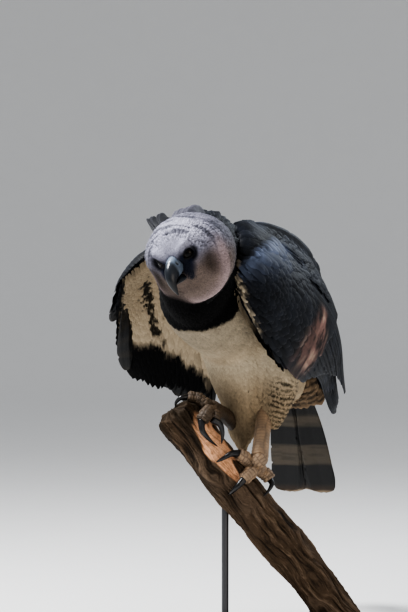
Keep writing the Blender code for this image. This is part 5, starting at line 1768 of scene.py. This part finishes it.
@dataclass(frozen=True)
class Bill:
    """Both mandibles: rows of place, ridge (forward, up), cutting edge (forward, up) and half the width."""

    upper: tuple = (
        (0.00, 0.028, 0.0180, 0.028, -0.0120, 0.0130),
        (0.22, 0.047, 0.0170, 0.046, -0.0135, 0.0132),
        (0.40, 0.061, 0.0115, 0.057, -0.0155, 0.0115),
        (0.58, 0.0725, 0.0010, 0.0650, -0.0190, 0.0092),
        (0.74, 0.0780, -0.0125, 0.0685, -0.0235, 0.0068),
        (0.88, 0.0768, -0.0260, 0.0685, -0.0295, 0.0044),
        (1.00, 0.0712, -0.0395, 0.0690, -0.0392, 0.0009),
    )
    lower: tuple = (
        (0.00, 0.028, -0.0128, 0.028, -0.0235, 0.0112),
        (0.35, 0.045, -0.0142, 0.045, -0.0252, 0.0104),
        (0.70, 0.0565, -0.0164, 0.0570, -0.0250, 0.0074),
        (0.90, 0.0628, -0.0196, 0.0625, -0.0243, 0.0046),
        (1.00, 0.0655, -0.0220, 0.0650, -0.0238, 0.0018),
    )
    cere: Numbers = (0.125, 0.155, 0.200)
    horn: Numbers = (0.018, 0.022, 0.029)
    tip: Numbers = (0.004, 0.0045, 0.006)
    nostril: Triple = (0.0520, 0.0125, 0.0050)

    def half(self, rows: tuple, rings: int, around: int) -> tuple[Array, Array, Array]:
        """Rings in the head's frame: narrow at the ridge, full at the cutting edge; also places and heights."""
        places = 1 - (1 - np.linspace(0, 1, rings)) ** 1.15
        values = hermite(rows, places)
        angles = circle(around)
        height = np.cos(angles)
        middle = np.stack([(values[:, 0] + values[:, 2]) / 2, 0 * places, (values[:, 1] + values[:, 3]) / 2], axis=1)
        rise = np.stack([(values[:, 0] - values[:, 2]) / 2, 0 * places, (values[:, 1] - values[:, 3]) / 2], axis=1)
        width = values[:, 4:5] * np.sign(np.sin(angles)) * np.abs(np.sin(angles)) ** 0.8 * (1 - 0.22 * height)
        points = middle[:, None] + height[None, :, None] * rise[:, None] + width[..., None] * np.array([0, 1.0, 0])
        return points, np.broadcast_to(places[:, None], width.shape), np.broadcast_to(height, width.shape)

    def build(self) -> None:
        """The upper mandible with cere and nostrils, and the lower one."""
        points, place, height = self.half(self.upper, 72, 64)
        step = smooth(place, 0.36, 0.40) * (1 - smooth(place, 0.40, 0.52)) * smooth(height, -0.9, 0.2)
        centre = points.mean(axis=1, keepdims=True)
        points = centre + (points - centre) * (1 - 0.035 * step)[..., None]
        pit = np.zeros(place.shape)
        for hand in (1, -1):
            away = points - np.array(self.nostril) * (1, hand, 1)
            slit = np.sqrt((away[..., 0] / 0.0021) ** 2 + (away[..., 2] / 0.0034) ** 2 + (away[..., 1] / 0.006) ** 2)
            inside = 1 - smooth(slit, 0.65, 1.05)
            points[..., 1] -= hand * 0.0032 * inside
            pit = np.maximum(pit, inside)
        wave = lattice_noise(np.stack([place * 9, height * 2, 0 * place], -1), 71)
        colour = mix(self.cere, self.horn, smooth(place + 0.02 * wave + 0.05 * height, 0.34, 0.44))
        colour = mix(colour, self.tip, smooth(place - 0.10 * height, 0.52, 0.86))
        # Painted highlight along the top of the cere.
        colour = mix(colour, np.array(self.cere) * 1.9, bell(place, 0.24, 0.12) * smooth(height, 0.55, 1.0) * 0.6)
        # Painted shade inside the nostrils.
        colour = mix(colour, (0.004, 0.004, 0.005), pit)
        colour = mix(colour, self.tip, smooth(-height, 0.86, 0.99) * 0.7)
        tube_piece("beak_upper", [(HEAD.out(points), colour)], BILL, "bill_upper")
        points, place, _ = self.half(self.lower, 36, 48)
        colour = mix(self.horn, self.tip, smooth(place, 0.4, 1.0) * 0.8)
        tube_piece("beak_lower", [(HEAD.out(points), colour)], BILL, "bill_lower")


@dataclass(frozen=True)
class Eyes:
    """Eyeballs with iris and pupil, and lids that open in a low almond."""

    iris: Numbers = (0.009, 0.0055, 0.003)
    pupil: Numbers = (0.002, 0.002, 0.002)
    lid: Numbers = (0.010, 0.010, 0.013)
    open_half: float = 0.0099
    open_above: float = 0.0030
    open_below: float = 0.0066

    def axes(self, hand: int) -> tuple[Array, Array, Array, Array]:
        """Eye centre, its outward way, and the opening's long and short ways, in the head's frame."""
        out = unit(np.array([0.76, 0.62 * hand, 0.10]))
        corner = unit(np.cross([0, 0, 1.0], out))
        slit = unit(corner * -hand * 0.9 + np.array([0, 0, -0.30]))
        slit = unit(slit - (slit @ out) * out)
        return np.array(SKULL.eye_place) * (1, hand, 1), out, slit, np.cross(out, slit)

    def build(self) -> None:
        """Both eyes and their lids."""
        for hand, side in ((1, "left"), (-1, "right")):
            self.ball(hand, side)
            self.lids(hand, side)

    def ball(self, hand: int, side: str) -> None:
        """A ball whose pole looks outwards, tinted by the angle from it, with a slightly proud cornea."""
        centre, out, slit, _ = self.axes(hand)
        look = unit(out + np.array([0.10, -0.10 * hand, -0.22]))
        first = unit(slit - (slit @ look) * look)
        tilt = np.radians(np.linspace(1.5, 178, 44))[:, None]
        turn = circle(48)
        way = ball_ways(tilt, turn, (look, first, np.cross(look, first)))
        radius = SKULL.eye_radius * (1 + 0.03 * bell(np.degrees(tilt), 0, 30))[..., None]
        angle = np.degrees(tilt) + 0 * turn
        ray = 0.5 + 0.5 * np.sin(turn * 23 + 2 * np.sin(turn * 5))
        iris = mix(np.array(self.iris) * 0.7, np.array(self.iris) * 1.4, ray + 0 * angle)
        colour = mix(mix(self.pupil, iris, smooth(angle, 20, 22)), self.pupil, smooth(angle, 38, 44))
        tube_piece(f"eyeball_{side}", [(HEAD.out(centre + way * radius), colour)], EYE, f"eye_{side}")

    def lids(self, hand: int, side: str) -> None:
        """A hood round the ball: from a rolled almond rim out over the ball, with folds that follow the rim.

        The rim's angle from the pole is (|cos|^p / length^p + |sin|^p / height^p)^(-1/p) over the ball's radius.
        """
        centre, out, slit, short = self.axes(hand)
        turn = circle(96)
        rows = 30
        depth = np.linspace(0, 1, rows)[:, None]
        tall = np.where(np.sin(turn) * -hand > 0, self.open_above, self.open_below)
        across, up = np.abs(np.cos(turn)) / self.open_half, np.abs(np.sin(turn)) / tall
        start = (across**1.6 + up**1.6) ** (-1 / 1.6) / SKULL.eye_radius
        start = np.arcsin(np.clip(start, 0, 0.97))
        tilt = start + (math.radians(118) - start) * np.clip(depth * 1.12 - 0.12, 0, 1)
        fold = 0.00035 * np.sin(depth * 26) * (1 - depth) * smooth(depth, 0.12, 0.25)
        roll = np.clip(1 - depth / 0.12, 0, 1)
        radius = SKULL.eye_radius + 0.0013 + fold - 0.0011 * roll**2 + 0.0006 * bell(depth, 0.12, 0.07)
        way = ball_ways(tilt, turn, (out, slit, short))
        outer = centre + way * radius[..., None]
        inner = centre + way * (SKULL.eye_radius + 0.0001)
        rings = np.concatenate([inner[::-1][:-1:4], outer])
        count, around = rings.shape[:2]
        shade = np.concatenate([np.zeros(count - rows), np.linspace(0, 1, rows)])[:, None] + 0 * turn
        colour = mix(np.array(self.lid) * 0.5, np.array(self.lid) * 1.6, shade)
        brow = smooth(np.sin(turn) * -hand, 0.0, 0.6)[None, :] * smooth(shade, 0.16, 0.42)
        colour = mix(colour, np.array(MARKS.ash) * 0.75, brow)
        quads = grid_quads(count + 1, around, True) % (count * around)
        make_piece(f"lids_{side}", HEAD.out(rings).reshape(-1, 3), quads[:, ::-1], LID, colour.reshape(-1, 3))
        LOG.info("lids_%s: %d faces", side, len(quads))


@dataclass(frozen=True)
class Crest:
    """The long feathers of the rear crown, in two groups, laid back and lifted to the head's right."""

    groups: tuple = (
        (((-0.018, 0.018, 0.050), (-0.066, 0.004, 0.0540), (-0.106, -0.006, 0.029)),
         ((-0.022, -0.018, 0.052), (-0.068, -0.026, 0.0560), (-0.108, -0.040, 0.037))),
        (((-0.020, -0.030, 0.050), (-0.066, -0.058, 0.062), (-0.100, -0.076, 0.048)),
         ((-0.020, -0.048, 0.040), (-0.060, -0.079, 0.064), (-0.090, -0.100, 0.056))),
    )
    count: int = 6
    width: float = 0.025
    front: Triple = (0.0, -1.0, 0.35)

    def build(self) -> None:
        """Closed vanes along curves between each group's first and last feather, with their faces to the front."""
        rng = np.random.default_rng(81)
        fine = np.linspace(0, 1, 18)
        shape = tuple(zip(fine, hermite(FULL_VANE, fine)[:, 0]))
        tract = Tract(0.01, 0.09, self.width, camber=0.03, ragged=0.03, fringe=0.3, shape=shape, columns=9, seed=81)
        lines = []
        for first, last in self.groups:
            for k in range(self.count):
                share = k / (self.count - 1)
                keys = np.array(first) + (np.array(last) - np.array(first)) * share
                keys[1:] += (rng.uniform(-0.006, 0.002), rng.uniform(-0.002, 0.002), 0.0012 * (k % 2))
                lines.append(HEAD.out(hermite(np.column_stack([[0, 0.55, 1], keys]), fine)))
        line = np.array(lines)
        run = unit(np.gradient(line, axis=1))
        front = np.array(self.front)
        normal = unit(front - (run @ front)[..., None] * run)
        width = self.width * rng.uniform(0.85, 1.05, len(line))
        bake = np.stack([np.linspace(0.1, 0.9, len(line)), np.full(len(line), 0.8)], axis=1)
        vanes = tract.spread(line, normal, width, bake, rng, self.tint)
        edge = smooth(np.abs(np.linspace(-1, 1, 9)), 0.80, 1.0)[None, None, :]
        tip = smooth(fine, 0.90, 1.0)[None, :, None]
        pale = np.maximum(edge, tip) * np.ones(vanes.points.shape[:3])
        group = np.repeat([0.0, 1.0], self.count)[:, None, None] * np.ones_like(pale)
        vanes.tint = mix(vanes.tint, np.array(MARKS.slate) * 0.8, group * 0.94)
        vanes.tint = mix(vanes.tint, np.array(MARKS.ash) * 0.6, pale * (0.5 - 0.36 * group))
        vanes.under = vanes.tint * 0.8
        vanes.thick = 0.0008
        vanes.build("crest", PLUME)

    def tint(self, points: Array) -> Array:
        """Lavender grey with a dark cloud."""
        cloud = smooth(lattice_noise(points * 60, 82), -0.2, 0.6)
        return mix(np.array(MARKS.ash) * 0.55, MARKS.ash_dark, cloud * 0.6)


@dataclass(frozen=True)
class Bristles:
    """Fine dark bristles over the lores and round the corners of the mouth."""

    count: int = 900
    tract: Tract = Tract(
        0.001, 0.0088, 0.00060, sunk=0.0004, raised=0.0022, camber=0.2, ragged=0.0, uneven=0.2,
        shape=((0.0, 1.0), (0.4, 0.8), (0.75, 0.5), (1.0, 0.1)), seed=92,
    )

    def build(self) -> None:
        """Slivers rooted between each eye and the cere, that sweep down and forwards over the bill's side."""
        rng = np.random.default_rng(91)
        roots, flows = [], []
        for hand in (1, -1):
            share = rng.uniform(0, 1, (self.count // 2, 2))
            side = 0.0125 + 0.017 * share[:, 0]
            up = 0.010 - 0.034 * share[:, 1]
            roots.append(np.stack([np.full(len(share), 0.044), hand * side, up], axis=1))
            inwards = hand * (-0.15 - 12 * (side - 0.0125))
            flows.append(np.stack([0.35 + 0 * side, inwards, -0.9 + 0 * side], axis=1))
        spots = np.concatenate(roots)
        spots = HEAD.out(unit(spots) * SKULL.radius(spots)[:, None])
        flow = HEAD.turn(unit(np.concatenate(flows) + rng.normal(0, 0.22, spots.shape)))
        bake = np.stack([rng.uniform(0, 1, len(spots)), np.full(len(spots), 0.05)], axis=1)
        scale = rng.uniform(0.5, 1.1, len(spots))
        self.tract.lay(spots, flow, bake, scale, self.tint).build("bristles", PLUME)

    def tint(self, points: Array) -> Array:
        """Dark grey with a blue cast."""
        return np.broadcast_to(np.array(MARKS.ash_dark) * (0.70, 0.78, 0.92), points.shape)


# Branch, legs and feet


@dataclass(frozen=True)
class Branch:
    """The cut branch: a tapered log of fibrous bark with bare wood where it is worn, and a torn upper end."""

    top: Triple = (-0.1250, -0.035, 0.4110)
    foot: Triple = (0.1675, -0.020, 0.0497)
    radius_top: float = 0.0385
    radius_foot: float = 0.0340
    rows: int = 420
    around: int = 230
    torn: float = 0.035  # the torn end's length, as a share of the branch's
    bark: Numbers = (0.085, 0.055, 0.034)
    pale: Numbers = (0.235, 0.165, 0.110)
    deep: Numbers = (0.016, 0.011, 0.007)
    bare: Numbers = (0.88, 0.50, 0.30)

    def axes(self) -> tuple[Array, Array, Array]:
        """The branch's run, its upper side and the side towards the viewer."""
        run = unit(np.array(self.foot) - self.top)
        viewer = unit(np.array([0, -1.0, 0]) + run * run[1])
        return run, -np.cross(run, viewer), viewer

    def length(self) -> float:
        """Length between the two ends."""
        return float(np.linalg.norm(np.array(self.foot) - self.top))

    def radius(self, along: Array) -> Array:
        """Radius at a distance from the broken end."""
        share = np.clip(np.asarray(along, float) / self.length(), 0, 1)
        return self.radius_top + (self.radius_foot - self.radius_top) * share

    def on(self, places: Array) -> Array:
        """World points of (along, angle in degrees, height) places on the branch."""
        along, angle, height = np.moveaxis(np.asarray(places, float), -1, 0)
        run, upper, viewer = self.axes()
        reach = (self.radius(along) + height)[..., None]
        turn = np.radians(angle)[..., None]
        return np.array(self.top) + run * along[..., None] + reach * (np.cos(turn) * upper + np.sin(turn) * viewer)

    def build(self) -> None:
        """The log in place of its solid: radius = taper + furrow + swell + fibres - worn hollows."""
        run, upper, viewer = self.axes()
        length = self.length()
        end, cap = 26, 6  # rows over the torn end and over the cut one
        middle = np.linspace(0, 1, self.rows - end - cap + 1)
        share = np.concatenate([np.linspace(-self.torn, 0.0, end)[:-1], middle, np.full(cap, 1.0)])
        angles = circle(self.around)
        s, t = np.meshgrid(share, angles, indexing="ij")
        furrow = 0.0012 * np.sin(3 * t + 4 * s) + 0.0009 * np.sin(5 * t - 7 * s + 1.0)
        swell = 0.0016 * np.sin(9 * s + 2 * np.cos(t)) + 0.0012 * np.sin(23 * s + 3 * np.sin(t))
        wrap = np.stack([np.cos(t), np.sin(t), s * 6], axis=-1)
        twist = 0.35 * lattice_noise(wrap * 1.5, 101) + 0.12 * lattice_noise(wrap * 4, 111)
        turned = np.stack([np.cos(t + twist), np.sin(t + twist), s], -1)
        fibre = ridged(turned * (9, 9, 9), 3, 102)
        fine = ridged(turned * (30, 30, 34), 3, 106)
        chips = lattice_noise(turned * (22, 22, 70), 112)
        patch = smooth(lattice_noise(wrap * (1.6, 1.6, 0.9), 103) + 0.3 * fibre, 0.15, 0.35)
        crack = smooth(ridged(turned * (6, 6, 4), 3, 104), 0.50, 0.85)
        bare = self.wear_and_light(s * length, np.degrees(t), wrap)
        rough = 0.0016 * fibre + 0.0009 * fine + 0.0009 * chips + 0.0014 * patch - 0.0030 * crack
        relief = rough * (1 - 0.85 * bare) + 0.00035 * fine * bare - 0.0016 * bare
        radius = self.radius(s * length) + furrow + swell + np.clip(relief, -0.0042, 0.0030)
        past = np.clip(-s / self.torn, 0, 1)
        lumps = lattice_noise(np.stack([np.cos(t) * 2.6, np.sin(t) * 2.6, past * 2.2], -1), 105)
        shards = ridged(np.stack([np.cos(t) * 8, np.sin(t) * 8, past * 1.2], -1), 2, 113)
        radius = radius * (np.sqrt(np.clip(1 - past**2.4, 0.0004, 1)) + 0.30 * lumps * past * (1 - past**3))
        ragged = (0.010 * lumps + 0.006 * shards) * smooth(0.10 - s, 0.05, 0.13) * (1 - past**4)
        shift = s * length - ragged * (s <= 0.06)
        cut = np.clip((np.arange(len(share)) - (len(share) - cap)) / (cap - 1), 0, 1)[:, None]
        radius = radius * (1 - 0.985 * cut**0.8 * (cut > 0))
        points = (
            np.array(self.top)
            + run * shift[..., None]
            + radius[..., None] * (np.cos(t)[..., None] * upper + np.sin(t)[..., None] * viewer)
        )
        colour = self.colour(s, wrap, (fibre, fine, chips), (patch, crack, bare))
        colour = mix(colour, np.array(self.bare) * 0.75, cut * np.ones_like(s))
        dark_end = smooth(0.10 - s + 0.03 * chips, 0.05, 0.13) * (1 - bare)
        colour = mix(colour, np.array(self.deep) * (1.8, 1.7, 1.3), dark_end * (0.65 + 0.3 * shards))
        tube_piece("branch", [(points, colour)], BARK, "perch")

    def colour(self, s: Array, wrap: Array, grain: tuple[Array, Array, Array], where: tuple[Array, ...]) -> Array:
        """Colours of the bark and the bare wood.

        Args:
            s: share of the length.
            wrap: places for the noise.
            grain: heights of the fibres, the fine fibres and the chips.
            where: shares of pale patches, cracks and bare wood.

        Returns:
            Linear colours.
        """
        (fibre, fine, chips), (patch, crack, bare) = grain, where
        tone = 0.5 + 0.30 * np.clip(fibre, -1, 1) + 0.22 * fine + 0.18 * chips
        colour = mix(self.bark, self.pale, smooth(tone, 0.45, 1.05) * 0.8)
        colour = mix(colour, np.array(self.pale) * (0.95, 1.0, 1.1), patch * 0.25)
        # Painted shade: darker in the cracks and between the raised fibres.
        colour = mix(colour, self.deep, np.maximum(crack, smooth(-fibre - 0.4 * fine, 0.1, 0.9)) * 0.85)
        # Darker patches over the upper part of the branch.
        darkened = smooth(lattice_noise(wrap * (2.0, 2.0, 1.3), 107), -0.3, 0.4) * smooth(0.45 - s, -0.1, 0.3)
        colour = mix(colour, np.array(self.deep) * 1.3, darkened * 0.75)
        wood = mix(self.bare, np.array(self.bare) * (0.42, 0.34, 0.28), smooth(fine + 0.5 * chips, -0.2, 0.8) * 0.8)
        return mix(colour, wood, bare)

    def wear_and_light(self, along: Array, angle: Array, wrap: Array) -> Array:
        """Where bare wood shows: between and below the feet on the side towards the viewer."""
        angle = (angle + 180) % 360 - 180
        edge = 0.35 * lattice_noise(wrap * 3.0, 109) + 0.25 * lattice_noise(wrap * (14, 14, 2), 110)
        first = bell(along, 0.068, 0.044) * bell(angle, 52, 34)
        second = bell(along, 0.135, 0.030) * bell(angle, 70, 20) * 0.7
        return smooth(first * 1.7 + second + edge * 0.7, 0.42, 0.62)


BRANCH = Branch()


def smooth_path(points: Array, count: int) -> Array:
    """Points evenly placed along a smooth curve through a few points."""
    points = np.asarray(points, float)
    rows = np.column_stack([np.linspace(0, 1, len(points)), points])
    return hermite(rows, np.linspace(0, 1, count))


@dataclass(frozen=True)
class Leg:
    """One bare leg: shank, foot pad, four toes and their claws, gripping the branch.

    Toe and claw rows are (along, angle, height) places on the branch.
    """

    side: str
    shank: tuple
    pad: Triple
    toes: dict
    claws: dict
    shank_radius: float = 0.0140
    toe_radius: float = 0.0112
    around: int = 72
    claw_radius: tuple = (("inner", 0.0066), ("middle", 0.0060), ("outer", 0.0050), ("hind", 0.0072))
    yellow: Numbers = (0.40, 0.275, 0.175)
    grey: Numbers = (0.235, 0.175, 0.125)
    seam: Numbers = (0.075, 0.048, 0.032)
    horn: Numbers = (0.007, 0.0065, 0.007)
    tone: float = 1.0  # how light its colour is against the other leg's; below 1.0 it is painted shade

    def build(self) -> None:
        """The shank, the foot and the claws, each in place of its solid."""
        self.build_shank()
        self.build_foot()
        for toe in self.claws:
            self.build_claw(toe)

    def scuted(
        self, path: Array, sideways: Array, radii: Array, facing: Array, pitch: float, flatten: float = 1.0,
        depth: float = 1.0,
    ) -> tuple[Array, Array]:
        """Rings with overlapping plates on the facing side and low round scales elsewhere.

        Args:
            path: the line's world points, closely spaced.
            sideways: a direction across the line.
            radii: radius at each point.
            facing: the side that carries plates.
            pitch: length of one plate.
            flatten: height against width.
            depth: how strongly the plates stand out.

        Returns:
            The rings and a colour for each point.
        """
        sizes = np.stack([radii, radii * flatten, radii * flatten], 1)
        rings = ellipse_rings(path, np.gradient(path, axis=0), sideways, sizes, self.around)
        spokes = unit(rings - path[:, None])
        run = np.concatenate([[0], np.linalg.norm(np.diff(path, axis=0), axis=1).cumsum()])
        tangent = unit(np.gradient(path, axis=0))
        ahead = unit(facing - (tangent @ unit(facing))[:, None] * tangent)
        turn = np.arctan2((spokes * np.cross(tangent, ahead)[:, None]).sum(-1), (spokes * ahead[:, None]).sum(-1))
        column = 9 * (turn - 0.55 * np.sin(turn)) / (2 * math.pi)
        column = column + 0.10 * lattice_noise(rings * 130, 115)
        row = run[:, None] / pitch + 0.5 * (np.round(column) % 2) + 0.22 * lattice_noise(rings * 90, 116)
        across, along = np.abs(2 * (column - np.round(column))), np.abs(2 * (row - np.round(row)))
        seam = np.maximum(smooth(across, 0.66, 0.98), smooth(along, 0.62, 0.96))
        dome = (1 - across**4) * (1 - along**4)
        fine = lattice_noise(rings * 900, 111) * 0.00012 + lattice_noise(rings * 420, 112) * 0.00022
        points = rings + spokes * (depth * (0.00075 * dome - 0.00035 * seam) + fine)[..., None]
        plate = np.sin(np.round(row) * 7.3 + np.round(column) * 4.1)
        tone = 0.5 + 0.5 * lattice_noise(rings * 110, 113) + 0.35 * plate
        colour = mix(self.yellow, self.grey, np.clip(tone, 0, 1) * 0.8)
        colour = mix(colour, self.seam, seam * depth * (0.50 + 0.15 * lattice_noise(rings * 200, 117)))
        # Painted shade: darker where the surface faces down.
        colour = mix(colour, np.array(self.seam) * 0.7, smooth(-spokes[..., 2], 0.2, 1.0) * 0.35)
        return points, colour * self.tone

    def build_shank(self) -> None:
        """The bare lower leg, plated down its front."""
        path = smooth_path(self.shank, 150)
        shares = np.linspace(0, 1, 150)
        radii = self.shank_radius * (1 + 0.10 * np.abs(2 * shares - 1) ** 2) - 0.0004
        front = np.array([-0.3, -1.0, 0.2])
        tube = self.scuted(path, np.array(BIRD.axes[1]), radii, front, 0.0056, 0.92, 0.5)
        tube_piece(f"shank_{self.side}", [tube], LEG, f"tarsus_{self.side}")

    def across(self, path: Array) -> Array:
        """The direction square to a toe's own curve plane, which stands on the branch."""
        run = BRANCH.axes()[0]
        middle = path[len(path) // 2] - np.array(BRANCH.top)
        away = middle - run * (middle @ run)
        return unit(np.cross(path[-1] - path[0], away))

    def build_foot(self) -> None:
        """Pad and toes in one piece: knuckled tubes with plates above and cushions below."""
        run, upper, viewer = BRANCH.axes()
        pad_path = np.array(self.pad) + np.outer(np.linspace(-0.013, 0.013, 40), run)
        share = np.linspace(-1, 1, 40)
        radii = 0.0160 * np.sqrt(np.clip(1 - (share * 0.93) ** 2, 0, 1))
        parts = [self.scuted(pad_path, viewer, radii, upper, 0.006)]
        for toe in self.toes.values():
            path = smooth_path(np.concatenate([[self.pad], BRANCH.on(toe)]), 110)
            shares = np.linspace(0, 1, 110)
            knuckle = 1.0 + 0.065 * np.cos(shares * 2 * math.pi * 3.2)
            taper = np.interp(shares, [0, 0.85, 0.96, 1.0], [1.0, 0.98, 0.86, 0.70])
            middle = path[60] - np.array(BRANCH.top)
            away = unit(middle - run * (middle @ run))
            parts.append(self.scuted(path, self.across(path), self.toe_radius * knuckle * taper, away, 0.0052))
        tube_piece(f"toes_{self.side}", parts, LEG, f"foot_{self.side}")

    def build_claw(self, toe: str) -> None:
        """A curved, tapered claw with a faint groove on each side."""
        count = 60
        path = smooth_path(BRANCH.on(self.claws[toe]), count)
        shares = np.linspace(0, 1, count)
        radii = dict(self.claw_radius)[toe] * (1 - shares) ** 0.75 + 0.0005
        start = path[0] - unit(path[1] - path[0]) * 0.004
        path = np.concatenate([[start], path])
        radii = np.concatenate([[radii[0] * 0.9], radii])
        around = 36
        rings = ellipse_rings(path, np.gradient(path, axis=0), self.across(path), np.stack([radii] * 3, 1), around)
        angles = circle(around)
        groove = 0.06 * np.exp(-((np.abs(np.cos(angles)) - 1) / 0.06) ** 2)
        rings = path[:, None] + (rings - path[:, None]) * (1 - groove)[None, :, None]
        tone = 0.5 + 0.5 * lattice_noise(rings * 250, 114)
        colour = mix(self.horn, np.array(self.horn) * 3.2, tone * 0.5)
        tube_piece(f"talon_{self.side}_{toe}", [(rings, colour)], CLAW, f"claw_{self.side}_{toe}")

LEGS = (
    Leg(
        "left",
        ((0.0260, 0.004, 0.4230), (0.0190, -0.024, 0.3850), (0.0135, -0.052, 0.3440)),
        (0.0122, -0.055, 0.3386),
        {
            "inner": ((0.136, 24, 0.014), (0.121, 32, 0.015), (0.1105, 38, 0.014)),
            "middle": ((0.147, 24, 0.014), (0.1485, 44, 0.012), (0.149, 66, 0.011)),
            "outer": ((0.158, 10, 0.015), (0.172, 6, 0.018), (0.182, 8, 0.018)),
            "hind": ((0.146, -22, 0.014), (0.143, -50, 0.012), (0.140, -78, 0.011)),
        },
        {
            "inner": ((0.1105, 38, 0.014), (0.102, 54, 0.016), (0.099, 72, 0.010), (0.0975, 86, 0.0012)),
            "middle": ((0.149, 66, 0.011), (0.151, 84, 0.012), (0.153, 100, 0.008), (0.154, 113, 0.0012)),
            "outer": ((0.182, 8, 0.018), (0.189, 16, 0.017), (0.193, 28, 0.010), (0.1945, 41, 0.0012)),
            "hind": ((0.140, -78, 0.011), (0.137, -100, 0.014), (0.135, -122, 0.010), (0.134, -142, 0.0012)),
        },
    ),
    Leg(
        "right",
        ((-0.0180, 0.052, 0.3830), (-0.0420, 0.010, 0.4080), (-0.0690, -0.030, 0.4260)),
        (-0.0700, -0.035, 0.4215),
        {
            "inner": ((0.029, 20, 0.015), (0.036, 28, 0.018), (0.0400, 36, 0.017)),
            "middle": ((0.024, 30, 0.015), (0.024, 45, 0.016), (0.0270, 58, 0.014)),
            "outer": ((0.012, 10, 0.012), (-0.004, 8, 0.006), (-0.017, 14, -0.004)),
            "hind": ((0.026, -24, 0.014), (0.028, -52, 0.012), (0.030, -80, 0.011)),
        },
        {
            "inner": ((0.0400, 36, 0.017), (0.053, 33, 0.019), (0.069, 36, 0.012), (0.0800, 42, 0.0012)),
            "middle": ((0.0270, 58, 0.014), (0.041, 70, 0.017), (0.060, 68, 0.011), (0.0785, 57, 0.0012)),
            "outer": ((-0.017, 14, -0.004), (-0.023, 26, -0.012), (-0.022, 38, -0.022), (-0.016, 46, -0.030)),
            "hind": ((0.030, -80, 0.011), (0.033, -102, 0.014), (0.035, -124, 0.010), (0.036, -144, 0.0012)),
        },
        # Painted shade: the right leg is darkened as if in the body's shadow.
        tone=0.30,
    ),
)


# Stand and studio


@dataclass(frozen=True)
class Stand:
    """The display stand's own solids, with a stained wood base and dark steel rods."""

    base: str = "stand_base"
    rods: tuple[str, ...] = ("stand_rod_long", "stand_rod_short")

    def dress(self, nodes: dict[str, bpy.types.Object]) -> None:
        """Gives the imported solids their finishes."""
        for name, finish in ((self.base, WOOD), *((rod, STEEL) for rod in self.rods)):
            nodes[name].data.materials.clear()
            nodes[name].data.materials.append(finish.build())


@dataclass(frozen=True)
class Studio:
    """A pale floor that curves up at its far rim, soft lamps and the camera."""

    place: Triple = (-0.0812, -3.25, 0.60)
    reach: float = 3.2  # from the camera to the plane that PIXEL is measured in
    sensor: float = 36.0
    floor_radius: float = 14.0
    rim: float = 5.0

    def build(self) -> None:
        """Floor, lamps, world and camera."""
        self.floor()
        self.lamp("key", (-1.35, -0.15, 2.55), (0.0, 0.0, 0.60), 0.9, 100.0, (0.97, 0.98, 1.0))
        self.lamp("fill", (1.7, -2.6, 1.1), (0.0, 0.0, 0.5), 1.8, 14.0, (1.0, 0.88, 0.74))
        self.lamp("rim", (1.6, 1.5, 1.9), (0.05, 0.1, 0.55), 1.0, 16.0, (0.85, 0.92, 1.0))
        world = bpy.data.worlds.new("studio")
        bpy.context.scene.world = world
        world.use_nodes = True
        sky = world.node_tree.nodes["Background"]
        sky.inputs["Color"].default_value = (0.92, 0.95, 1.0, 1.0)
        sky.inputs["Strength"].default_value = 0.46
        bpy.context.scene.view_settings.look = "AgX - High Contrast"
        self.camera()

    def floor(self) -> None:
        """A surface of revolution: flat, then a quarter circle up at the rim."""
        inner, around, curve = self.floor_radius - self.rim, 96, np.linspace(0.1, math.pi / 2, 24)
        radius = np.concatenate([np.linspace(0.02, inner, 12), inner + self.rim * np.sin(curve)])
        height = np.concatenate([np.zeros(12), self.rim * (1 - np.cos(curve))])
        turn = circle(around)
        reach = radius[:, None]
        points = np.stack([reach * np.cos(turn), reach * np.sin(turn), height[:, None] + 0 * turn], -1)
        quads = grid_quads(len(radius), around, True)
        a = np.arange(around)
        triangles = np.stack([np.full(around, len(points) * around), a, (a + 1) % around], axis=1)
        flat = np.concatenate([points.reshape(-1, 3), [[0, 0, 0]]])
        mesh = bpy.data.meshes.new("floor")
        mesh.from_pydata(flat.tolist(), [], quads.tolist() + triangles.tolist())
        mesh.materials.append(FLOOR.build())
        mesh.shade_smooth()
        put_in("floor", mesh)

    def lamp(self, name: str, place: tuple, aim: tuple, size: float, power: float, colour: tuple) -> None:
        """A round soft lamp that points at a place."""
        light = bpy.data.lights.new(name, "AREA")
        light.shape = "DISK"
        light.size = size
        light.energy = power
        light.color = colour
        made = put_in(name, light)
        made.location = place
        way = np.array(aim) - place
        flat = math.hypot(way[0], way[1])
        made.rotation_euler = (math.atan2(flat, -way[2]), 0.0, math.atan2(way[1], way[0]) - math.pi / 2)

    def camera(self) -> None:
        """Looks level along +Y, so that one of FRAME_ROWS pixels spans PIXEL at the bird."""
        data = bpy.data.cameras.new("camera")
        data.sensor_fit = "VERTICAL"
        data.sensor_height = self.sensor
        data.lens = self.sensor * self.reach / (FRAME_ROWS * PIXEL)
        data.clip_end = 100.0
        made = put_in("camera", data)
        made.location = self.place
        made.rotation_euler = (math.pi / 2, 0.0, 0.0)
        bpy.context.scene.camera = made


def main() -> None:
    """Builds every part of the bird, its branch, stand and studio, in order."""
    logging.basicConfig(level=logging.INFO, format="%(message)s")
    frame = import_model()
    skin = Skin().build()
    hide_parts("torso", "neck", "head", "thigh_left", "thigh_right", "wing_left", "wing_right", "tail")
    Coat().build()
    for wing in WINGS:
        WingDress(wing).build()
    TAIL.build()
    Bill().build()
    Eyes().build()
    Crest().build()
    Bristles().build()
    BRANCH.build()
    for leg in LEGS:
        leg.build()
    Stand().dress(frame["nodes"])
    Studio().build()


if __name__ == "__main__":
    main()
